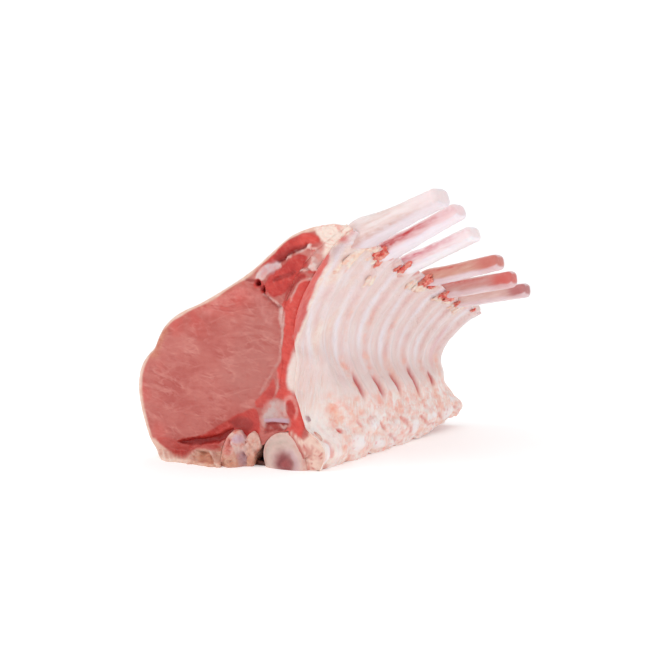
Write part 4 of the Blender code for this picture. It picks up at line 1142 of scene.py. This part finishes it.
def build_wall(membrane, meat):
    """The slab of the rib wall as rings from the ground up: chest side, rear edge, outer side, front edge."""
    places = np.linspace(0, 1, WALL_ROWS)
    first = front_pitches(WALL_ROWS)
    shares = np.linspace(0, 1, WALL_COLUMNS)[:, None]
    pitches = first + (RIBS_TO_REAR - first) * shares
    x, z, away_x, away_z, length = wall_grid(pitches, np.broadcast_to(places, pitches.shape))
    along = wall_place(pitches, length)
    top = length[:, -1:]
    flat = np.stack([x, along, z], axis=2).reshape(-1, 3)
    tops = np.broadcast_to(top, length.shape).ravel()
    masks, relief = wall_masks(flat, pitches.ravel(), length.ravel(), tops)
    relief = relief.reshape(x.shape) * ease(shares, 0, 0.012) * ease(1 - shares, 0, 0.012)
    rise = ridges(pitches, length) + VERTEBRA_LUMP * lump_height(along) * fade(length, -14, 6) + relief
    thick = wall_thickness(length, top)
    thick = thick + np.interp(z, FOOT_HEIGHTS, FOOT_REACH) * peak(along, along[:1], 3.4)
    near_x = x - away_x * rise
    near_z = z - away_z * rise
    near_z[:, 0] = FOOT_NOTCH * (1 - lump_height(along[:, 0]))
    far_x = x + away_x * thick
    far_z = z + away_z * thick
    far_z[:, 0] = 0.3
    chest = np.stack([near_x, along, lifted(near_x, along, near_z)], axis=2)
    outside = np.stack([far_x, along, lifted(far_x, along, far_z)], axis=2)
    fray = 1.6 * noise(chest[:, -1], 4.5, 70) + 0.8
    chest[:, -1, 0] += fray
    chest[:, -1, 2] += 0.6 * fray
    between = np.linspace(0, 1, STRIP_LAYERS + 2)[1:-1, None, None]
    rear_edge = chest[-1] + (outside[-1] - chest[-1]) * between
    front_edge = outside[0] + (chest[0] - outside[0]) * between
    rear_edge[..., 1] += 0.8 * np.sin(math.pi * between[..., 0])
    cut = np.concatenate([outside[:1], front_edge]).reshape(-1, 3)
    depth = line_distance(cut[:, ::2], smooth_curve(OUTER_CONTOUR, 190))
    cut_face, cut_relief = cut_masks(cut[:, ::2], cut, depth, 1)
    rounding = np.concatenate([[[0.0]], between[..., 0] ** 6])
    stand = np.maximum(cut_relief.reshape(STRIP_LAYERS + 1, -1), -1.0) * (1 - rounding)
    outside[0, :, 1] -= stand[0]
    front_edge[..., 1] += 1.3 * rounding[1:] - stand[1:]
    rings = np.concatenate([chest, rear_edge, outside[::-1], front_edge], axis=0)
    sides = len(rings)
    points = rings.transpose(1, 0, 2).reshape(-1, 3)
    edge_start = 2 * WALL_COLUMNS + STRIP_LAYERS
    quads = np.array(ring_faces(numbers(WALL_ROWS, sides))).reshape(WALL_ROWS - 1, sides, 4)
    faces = quads[:, :edge_start - 1].reshape(-1, 4).tolist()
    for start in (0, (WALL_ROWS - 1) * sides):
        faces.append([start + n for n in range(WALL_COLUMNS - 1, WALL_COLUMNS + STRIP_LAYERS + 1)])
        faces.append([start + n for n in (*range(edge_start - 1, sides), 0)])
        for column in range(WALL_COLUMNS - 1):
            other = edge_start - 1 - column
            faces.append([start + column, start + column + 1, start + other - 1, start + other])
    edge_quads = quads[:, edge_start - 1:].reshape(-1, 4).tolist()
    full = {}
    blank_edge = np.zeros(rear_edge.shape[:2])
    blank = np.zeros_like(x)
    for key, values in masks.items():
        grid = values.reshape(x.shape)
        back = grid[::-1] if key in ("rib", "peach", "low") else blank
        rear = blank_edge + (0.75 if key == "torn" else 0)
        full[key] = np.concatenate([grid, rear, back, blank_edge], axis=0).T.ravel()
    for key, values in cut_face.items():
        back_corner, edge_values = np.split(values.reshape(STRIP_LAYERS + 1, -1), [1])
        parts = [edge_values[-1:], blank[1:], blank_edge, blank[1:], back_corner, edge_values]
        full[key] = np.concatenate(parts, axis=0).T.ravel()
    return make_piece("chest_wall", points, faces + edge_quads, membrane, "rib_membrane", ("rib_wall",), full,
                      (meat, len(faces)))


# The bones


def build_rib(number):
    """A bared rib: a flattened shaft with a rough streak on its front edge and a sawn, softened end."""
    *colors, strength, streak_turn, (foot_rear, foot_out, foot_chest, belly) = BONE_LOOKS[number]
    path = rib_path(number, 400)
    along = run_along(path)
    near_tip = along[-1] - TIP_STRETCH * (1 - np.sin(np.linspace(0, math.pi / 2, TIP_RINGS)))
    shaft = np.linspace(0, along[-1] - TIP_STRETCH, BONE_RINGS - TIP_RINGS, endpoint=False)
    places = np.concatenate([shaft, near_tip])
    path = np.stack([np.interp(places, along, column) for column in path.T], axis=1)
    ahead = np.gradient(path, axis=0)
    ahead[-1] = path[-1] - path[-6]
    ahead /= np.linalg.norm(ahead, axis=1)[:, None]
    side = np.array([0.0, 1.0, 0.0]) - ahead * ahead[:, 1:2]
    side /= np.linalg.norm(side, axis=1)[:, None]
    up = np.cross(ahead, side)
    wall_top = wall_column(RIB_FRONTS[number] + RIB_SHARE / 2, 60)[4][-1] - RIB_START
    bare = (places - wall_top) / max(places[-1] - wall_top, 6)
    share = places / places[-1]
    size = RIB_BASE_SIZE + (1 - RIB_BASE_SIZE) * ease(share, 0.3, 0.85)
    size = size * (1 - 0.3 * fade(bare, -0.3, -0.06))
    swell = 1 + RIB_SWELL * np.sin(9 * share + 2 * number)
    rounding = np.sqrt(1 - 0.5 * np.clip(1 - (places[-1] - places) / TIP_ROUNDING, 0, 1) ** 2)
    turn = np.linspace(0, math.tau, BONE_SIDES, endpoint=False)
    across, through = (np.sign(wave) * np.abs(wave) ** 0.7 for wave in (np.cos(turn), np.sin(turn)))
    half_width = (RIB_WIDTHS[number] / 2 * size * swell * rounding)[:, None]
    half_depth = (RIB_THICKNESSES[number] / 2 * size * rounding)[:, None]
    spread = (np.exp(-((np.clip(bare, 0, None) / 0.4) ** 2)) * ease(bare, -0.05, 0.1))[:, None]
    chest_reach = foot_chest * spread + belly * (ease(bare, -0.02, 0.16) * rounding)[:, None]
    offset_side = across * half_width + np.clip(across, 0, 1) * spread * foot_rear
    offset_up = through * half_depth + np.clip(through, 0, 1) * spread * foot_out
    offset_up = offset_up - np.clip(-through, 0, 1) * chest_reach
    offset = offset_side[..., None] * side[:, None] + offset_up[..., None] * up[:, None]
    rings = path[:, None] + offset
    flat = rings.reshape(-1, 3)
    rough = 0.04 * layered_noise(flat, 9, 80 + number) + 0.02 * noise(flat, 2.5, 90 + number)
    rings = rings + offset * rough.reshape(rings.shape[:2])[..., None]
    flat = rings.reshape(-1, 3)
    centre = rings[-1].mean(axis=0)
    points = [flat]
    for step, out in ((0.35, 0.25), (0.7, 0.4)):
        points.append(rings[-1] + (centre - rings[-1]) * step + ahead[-1] * out)
    points.append((centre + ahead[-1] * 0.45)[None])
    last_ring = (BONE_RINGS + 1) * BONE_SIDES
    faces = ring_faces(numbers(BONE_RINGS, BONE_SIDES))
    faces.append(list(range(BONE_SIDES)))
    faces += ring_faces(numbers(3, BONE_SIDES, last_ring - 2 * BONE_SIDES))
    faces += [[last_ring + n, last_ring + (n + 1) % BONE_SIDES, last_ring + BONE_SIDES]
              for n in range(BONE_SIDES)]
    wave = noise(flat, 6, 100 + number).reshape(rings.shape[:2])
    fine = noise(flat, 2, 110 + number).reshape(rings.shape[:2])
    bare = bare[:, None]
    angle = turn[None] + 0.12 * wave
    front = ease(angle, 1.7, 2.3) * fade(angle, 3.35, 3.75)
    core = np.exp(-(((angle - streak_turn - 0.15 * wave) / 0.30) ** 2))
    window = ease(bare, -0.1, 0.05) * (1 - 0.8 * ease(bare, 0.3, 0.98))
    grids = {"edge": (front, 0.8),
             "streak": (np.clip(strength * core * window * (1.25 + 0.5 * fine), 0, 1), 0.0),
             "end": (0.85 * ease(bare + 0.05 * wave, 0.66, 0.9) * np.clip(front + 0.3, 0, 1), 0.85),
             "root": (0.8 * fade(bare + 0.06 * wave, -0.02, 0.13), 0.0)}
    masks = {key: np.concatenate([grid.ravel(), np.full(2 * BONE_SIDES + 1, at_end)])
             for key, (grid, at_end) in grids.items()}
    return make_piece(f"bared_rib_{number + 1}", np.vstack(points), faces, bared_bone_material(*colors),
                      "bared_bone", (f"rib_bone_{number + 1}",), masks)


def ground_bone(name, node_name, outline, start, end, material, crown, marks, face=None, reach=None):
    """A bone of the backbone: its outline on the sawn ground side, with both its ends filled in.

    face, if given, is the outline that its front end swells to, and reach how far points of that end stand
    out, as a function of where they lie.
    """
    ring, front_ring = (with_floor(smooth_curve(line, BONE_ARC)) for line in (outline, face or outline))
    middle = (ring[0, 0] + ring[BONE_ARC - 1, 0]) / 2
    length = end - start
    places = np.linspace(0, 1, max(8, int(length / BONE_STEP)))

    def placed(flat, place):
        pinch = 1 - crown * abs(2 * place - 1) ** 4
        along = start + length * place
        x, z = taper(flat[:, 0], flat[:, 1], along / TRUNK_LENGTH)
        x = middle + (x - middle) * pinch
        z = z * pinch
        y = along - FRONT_LEAN * z
        if reach:
            swell = reach(flat) * fade(along - start, 0, 12)
            x = x + lean_of(flat[:, 0]) * swell
            y = y - swell
        return np.stack([x, y, lifted(x, y, z)], axis=1)

    points, faces, flats, starts, total = [], [], [], [], 0
    for place, outward, border in ((0.0, -1, front_ring), (1.0, 1, ring)):
        fill, triangles = filled(border, BONE_SPACING)
        spots = placed(fill, place)
        relief = marks(fill, spots)[1] if place == 0 else 0.6 * layered_noise(spots, 5, 130)
        spots[:, 1] += outward * relief * ease(depth_inside(fill, border), 0, 2)
        points.append(spots)
        flats.append(fill)
        faces += (np.array(triangles) + total).tolist()
        starts.append(total)
        total += len(fill)
    inner_rings = [front_ring + (ring - front_ring) * ease(length * place, 1.5, 5.0)
                   for place in places[1:-1]]
    skin = np.vstack([placed(flat, place) for flat, place in zip(inner_rings, places[1:-1])])
    outwards = (skin - skin.mean(axis=0)) * [1, 0, 1]
    outwards /= np.maximum(np.linalg.norm(outwards, axis=1), 1)[:, None]
    rough = 0.9 * layered_noise(skin, 5, 131) * (1 - 0.9 * ease(skin[:, 0], -14, -6))
    skin = skin + outwards * (rough * (skin[:, 2] > 0.05))[:, None]
    skin[:, 2] = np.maximum(skin[:, 2], 0)
    points = np.vstack([*points, skin])
    front = np.arange(len(ring))
    faces += ring_faces(np.vstack([front, numbers(len(inner_rings), len(ring), total), starts[1] + front]))
    masks = marks(np.vstack([*flats, *inner_rings]), points)[0]
    return make_piece(name, points, faces, material, "sawn_bone", (node_name,), masks)


def disc_reach(flat):
    """How far the front of the disc bulges out, most at the ground."""
    return 3.6 * np.exp(-(((flat[:, 0] + 18) / 12) ** 4)) * (1 - 0.8 * ease(flat[:, 1], 0, 14))


def disc_marks(flat, points):
    """The front half of the disc: pale rings of cartilage round a purple core."""
    core = oval_reach(flat, -17.2, 3.4, 7.4, 7.0) + 0.10 * noise(points, 4, 120)
    edge = depth_inside(flat, smooth_curve(DISC_OUTLINE, BONE_ARC))
    rings = 0.5 + 0.35 * np.sin(core * 9 + 1.6 * layered_noise(points, 5, 119))
    front = ease(-points[:, 1], -4.0, -1.0)
    low_right = ease(flat[:, 0] + 0.6 * (10 - flat[:, 1]), -20, -10)
    masks = {
        "cream": 1 - 0.75 * rings * ease(core, 1.2, 1.6) * fade(edge, 1, 3),
        "ring": ease(core, 0.9, 1.25) * (0.25 + 0.6 * rings) * (1 - 0.55 * low_right) * ease(edge, 0.4, 1.6),
        "core": 0.95 * fade(core, 0.45, 1.35) * front,
        "lavender": 0.35 * ease(-np.abs(core - 1.05), -0.35, -0.1) * low_right,
        "blood": 0.22 * fade(core + 0.2 * noise(points, 2, 118), 0.1, 0.55) * front,
    }
    relief = 0.8 * ease(core, 0.8, 1.4) * fade(core, 1.8, 2.6) + 0.35 * rings - 0.8 * fade(edge, 0, 2)
    return masks, relief


def vertebra_marks(flat, points):
    """Spongy marrow where the bone is sawn on the ground, inside a rim of solid bone, and painted shade on
    the side that faces the canal.
    """
    edge = depth_inside(flat, smooth_curve(VERTEBRA_OUTLINE, BONE_ARC))
    sawn = fade(points[:, 2] - lifted(points[:, 0], points[:, 1], np.zeros(len(points))), 0.05, 0.6)
    rim = np.minimum(flat[:, 0] + 30, 3 - flat[:, 0])
    masks = {
        "cream": 0.5 * ease(edge, 0.5, 3),
        "marrow": most(sawn * ease(rim, 0.8, 2.4), 0.5 * ease(edge, 2, 5)),
        "blood": 0.4 * patches(points, 7, 121, 0.2, 0.7),
        # painted shade on the side that faces the canal
        "hollow": ease(-flat[:, 0], 26, 29.5) * (1 - sawn),
    }
    return masks, 0.5 * layered_noise(points, 5, 122)


def feather_reach(flat):
    """How far the front of the first two knobs stands out: the left one more, and more towards the ground."""
    return np.interp(flat[:, 0], KNOB_SIDES, KNOB_REACH) * (0.4 + 0.6 * fade(flat[:, 1], 2, 17))


def feather_marks(flat, points):
    """Two knobs of cartilage-capped bone: lavender on the first, cream on the second, with red between, and
    painted shade between them and in the cavity by the canal.
    """
    spots = flat + 0.7 * drift(points, (4, 124), (4, 127))
    knob = bell(spots, -45, 15.2, 4.4, 2.8, 2)
    spot = np.exp(-(((spots[:, 0] + 51.4) ** 2 + (spots[:, 1] - 13.4) ** 2) / 2.6) ** 2)
    # Painted shade in the hollow between the knobs, laid into the core and lavender masks
    shade = bell(spots, -43.6, 4.4, 3.2, 4.4, 2)
    rust = bell(spots, -39.4, 3.4, 3.2, 3.2, 2)
    flush = bell(spots, -53, 11, 3.4, 5, 2)
    white = stroke(spots, [(-49.4, 13.2), (-47.6, 9.6), (-45, 8.6), (-42, 9.2), (-39.6, 12)], 2.0)
    gully = stroke(flat, [(-41.4, 17), (-41, 12), (-40.4, 9)], 1.6)
    second = ease(flat[:, 0], -42, -39)
    sawn = fade(points[:, 2], 0.05, 0.6)
    crumbs = patches(points, 2.6, 126, -0.1, 0.5)
    masks = {
        "cream": most(0.9 * white, 0.5 * second * ease(flat[:, 1], 9, 14) * (0.4 + 0.6 * crumbs),
                      0.4 * crumbs * ease(flat[:, 1], 6, 10)),
        "core": 0.45 * shade,
        "tan": most(0.9 * fade(spots[:, 1], 4, 11) * patches(points, 5, 128, -0.9, 0.1), rust, 0.4 * second),
        "marrow": 0.8 * sawn,
        "lavender": most(0.95 * knob, 0.6 * shade) * (1 - 0.5 * white),
        "blood": most(0.85 * spot, 0.6 * flush, 0.4 * rust * patches(points, 2.5, 129, 0, 0.6)),
        # painted shade in the cavity beside the canal
        "hollow": (1 - sawn) * ease(flat[:, 0] + 0.35 * flat[:, 1], -33.6, -31.4)
        * fade(flat[:, 1], 8, 11) * (1 - 0.5 * ease(-points[:, 1], -3, 0)),
    }
    relief = 1.2 * knob + 1.2 * white - 1.6 * shade - 0.9 * spot - 2.0 * gully
    relief += 1.5 * layered_noise(points, 4, 123)
    relief += 0.9 * (1 - np.abs(2 * noise(points, 3, 126)).clip(0, 1.4))
    return masks, relief


def build_backbone(material):
    """The sawn bones along the ground: the front disc, the vertebrae and the knobs beside the canal."""
    ground_bone("front_disc", "chine_disc", DISC_OUTLINE, DISC_FRONT - 0.4, VERTEBRA_ENDS[0] + 0.5, material,
                0.03, disc_marks, reach=disc_reach)
    for number, (start, end) in enumerate(zip(VERTEBRA_ENDS, VERTEBRA_ENDS[1:]), 1):
        ground_bone(f"sawn_vertebra_{number}", f"vertebra_{number}", VERTEBRA_OUTLINE, start, end - GAP,
                    material, 0.05, vertebra_marks)
    starts = (FEATHER_FRONT, *VERTEBRA_ENDS[1:-1])
    ends = (*VERTEBRA_ENDS[1:-1], VERTEBRA_ENDS[-1] - FEATHER_REAR_SHORT)
    for number, (start, end) in enumerate(zip(starts, ends), 1):
        shape = (FEATHER_FACE, feather_reach) if number == 1 else (None, None)
        ground_bone(f"feather_knobs_{number}", f"feather_bone_{number}", FEATHER_OUTLINE, start,
                    start + (end - start) * FEATHER_SHARE, material, 0.06, feather_marks, *shape)


# Scraps of meat and membrane where the bones leave the wall


def wall_spot(pitches, length, out=0.0):
    """A point on the chest side of the wall, raised by that much, and the directions round it."""
    *grids, lengths = wall_column(pitches, 200)
    x, z, away_x, away_z = (np.interp(length, lengths, values) for values in grids)
    rise = float(ridges(np.array(pitches), np.array(length))) + out
    middle = np.array([x - away_x * rise, wall_place(pitches, length), z - away_z * rise])
    outward = np.array([-away_x, 0.0, -away_z])
    up = np.array([away_z, -RIB_SLANT, -away_x])
    up /= np.linalg.norm(up)
    return middle, outward, up, np.cross(outward, up)


def lump(pitches, length, out, sizes, seed):
    """Points and faces of a torn lump: long up the rib, across it and out from the wall."""
    middle, outward, up, across = wall_spot(pitches, length, out)
    rows, sides = 18, 26
    polar = np.linspace(0.08, math.pi - 0.08, rows)[:, None]
    turn = np.linspace(0, math.tau, sides, endpoint=False)[None]
    unit = np.stack([np.cos(polar) * np.ones_like(turn), np.sin(polar) * np.cos(turn),
                     np.sin(polar) * np.sin(turn)], axis=2).reshape(-1, 3)
    torn = 1 + 0.45 * layered_noise(unit, 0.9, seed) + 0.24 * noise(unit, 0.35, seed + 3)
    local = unit * torn[:, None] * sizes
    points = middle + local[:, :1] * up + local[:, 1:2] * across + local[:, 2:] * outward
    return points, capped_faces(rows, sides)


def torn_sheet(pitches, length, reach, width, lean, curl, seed):
    """Points and faces of a thin flap that is fixed at its foot and curls away from the wall."""
    middle, outward, up, across = wall_spot(pitches, length, 0.2)
    rows, columns = 22, 12
    share = np.linspace(0, 1, rows)[:, None]
    side = np.linspace(-1, 1, columns)[None]
    run = reach * share
    half = width / 2 * (1 - 0.75 * share**1.6) * (1 + 0.25 * np.sin(7 * share + seed))
    lift = curl * share**2 + 0.3 * width * (1 - side**2) * share * (1 - share) - 0.5 * side**4
    base = middle + (up * math.cos(lean) + across * math.sin(lean)) * run[..., None]
    turned = across * math.cos(lean) - up * math.sin(lean)
    sheet = base + turned * (half * side)[..., None] + outward * (lift * np.ones_like(side))[..., None]
    flat = sheet.reshape(-1, 3)
    flat = flat + outward * (0.25 * layered_noise(flat, 3.5, seed))[:, None]
    count = rows * columns
    index = numbers(rows, columns)
    faces = []
    for row, column in itertools.product(range(rows - 1), range(columns - 1)):
        near, far = index[row:row + 2, column:column + 2].tolist()
        quad = [*near, *reversed(far)]
        faces += [quad, [n + count for n in reversed(quad)]]
    rim = [*index[0], *index[1:, -1], *index[-1, -2::-1], *index[-2:0:-1, 0]]
    faces += [[a, b, b + count, a + count] for a, b in zip(rim, [*rim[1:], rim[0]])]
    return np.vstack([flat, flat - outward * FLAP_THICKNESS]), [[int(n) for n in face] for face in faces]


def joined(parts):
    """Points and faces of several parts in one."""
    points, faces, total = [], [], 0
    for part_points, part_faces in parts:
        points.append(part_points)
        faces += [[corner + total for corner in face] for face in part_faces]
        total += len(part_points)
    return np.vstack(points), faces


def canal_floor():
    """Points and faces of a low sheet along the canal beside the sawn bones, which paints the shade in the
    canal.
    """
    columns, rows = 9, 130
    side = np.linspace(0, 1, columns)[:, None]
    y = np.linspace(0.5, 200, rows)[None] + 0 * side
    x, z = taper(CANAL_SIDE + CANAL_WIDTH * side + 0 * y, 0.3 + 1.9 * np.sin(math.pi * side) ** 0.5 + 0 * y,
                 y / TRUNK_LENGTH)
    top = np.stack([x, y, z], axis=2)
    bumps = 0.8 * layered_noise(top.reshape(-1, 3), 4, 160).reshape(x.shape) * np.sin(math.pi * side)
    top[..., 2] = np.maximum(top[..., 2] + bumps, 0.25)
    low = top[::-1].copy()
    low[..., 2] = 0.05
    rings = np.concatenate([top, low[1:-1]], axis=0).transpose(1, 0, 2)
    return rings.reshape(-1, 3), capped_faces(rows, rings.shape[1])


def build_scraps():
    """The torn scraps and flaps at the feet of the bared bones, and the sheet of painted shade in the canal.
    """
    red = scrap_material("torn_meat", (0.76, 0.07, 0.05), (0.90, 0.34, 0.25), 2)
    pale = scrap_material("torn_membrane", (0.92, 0.78, 0.70), (0.90, 0.54, 0.42), 3)
    # A near-black sheet that stands for the shade in the canal
    dark = scrap_material("canal_shade", (0.06, 0.012, 0.008), (0.16, 0.04, 0.025), 4)
    lumps = [lump(*spot, seed=140 + number) for number, spot in enumerate(RED_SCRAPS)]
    sheets = [torn_sheet(*spot, seed=170 + number) for number, spot in enumerate(FLAPS)]
    make_piece("meat_scraps", *joined(lumps), red, "dark_meat")
    make_piece("membrane_flaps", *joined(sheets), pale, "rib_membrane")
    make_piece("canal_shade", *canal_floor(), dark, "dark_meat")


# The stage, the light and the camera


CAMERA_SPOT = (213.4, -372.4, 78.1)  # in section millimetres
CAMERA_TURN = 29.0
CAMERA_DIP = 0.61
CAMERA_LENS = 46.4
SENSOR = 36.0
SKY_STRENGTH = 0.74
LAMPS = (("key", (-0.5, -1.0, 1.3), 1.2, 7), ("fill", (1.2, -0.4, 0.7), 0.9, 1.5))
LAMP_AIM = (0, 0, 0.05)


def build_stage():
    """A floor that curves up into a backdrop far behind the rack."""
    far, near, half, height, bend = 3.2, -3.0, 4.0, 3.0, 1.0
    turns = np.linspace(0, math.pi / 2, 16)
    arc = [(far - bend + bend * math.sin(turn), bend - bend * math.cos(turn)) for turn in turns]
    profile = [(near, 0.0), (0.0, 0.0), *arc, (far, height)]
    turn = Matrix.Rotation(math.radians(CAMERA_TURN), 3, "Z")
    points = [turn @ Vector((x, y, z)) for y, z in profile for x in (-half, half)]
    faces = [[2 * n, 2 * n + 1, 2 * n + 3, 2 * n + 2] for n in range(len(profile) - 1)]
    mesh = bpy.data.meshes.new("stage_floor")
    mesh.from_pydata(points, [], faces)
    mesh.shade_smooth()
    mesh.materials.append(stage_material())
    floor = bpy.data.objects.new("stage_floor", mesh)
    bpy.context.scene.collection.objects.link(floor)


def build_light():
    """Soft light from the whole sky, and two round lamps in front of the rack."""
    scene = bpy.context.scene
    scene.world = bpy.data.worlds.new("studio")
    scene.world.use_nodes = True
    sky = scene.world.node_tree.nodes["Background"].inputs
    sky["Color"].default_value = (1, 1, 1, 1)
    sky["Strength"].default_value = SKY_STRENGTH
    for name, spot, size, power in LAMPS:
        data = bpy.data.lights.new(name, "AREA")
        data.shape = "DISK"
        data.size = size
        data.energy = power
        lamp = bpy.data.objects.new(name, data)
        scene.collection.objects.link(lamp)
        lamp.location = spot
        lamp.rotation_euler = (Vector(LAMP_AIM) - Vector(spot)).to_track_quat("-Z", "Y").to_euler()


def build_camera():
    """The camera, a little above the ground in front of the chest side."""
    data = bpy.data.cameras.new("camera")
    data.lens = CAMERA_LENS
    data.sensor_width = SENSOR
    camera = bpy.data.objects.new("camera", data)
    bpy.context.scene.collection.objects.link(camera)
    camera.location = Vector((np.array(CAMERA_SPOT) + ORIGIN) * MM)
    camera.rotation_euler = (math.radians(90 - CAMERA_DIP), 0, math.radians(CAMERA_TURN))
    bpy.context.scene.camera = camera


def main():
    bpy.context.scene.view_settings.view_transform = "Standard"
    build_camera()
    build_stage()
    build_light()
    meat = meat_material()
    build_trunk(meat)
    build_wall(wall_material(), meat)
    for number in range(len(RIB_FRONTS)):
        build_rib(number)
    build_backbone(sawn_bone_material())
    build_scraps()


main()
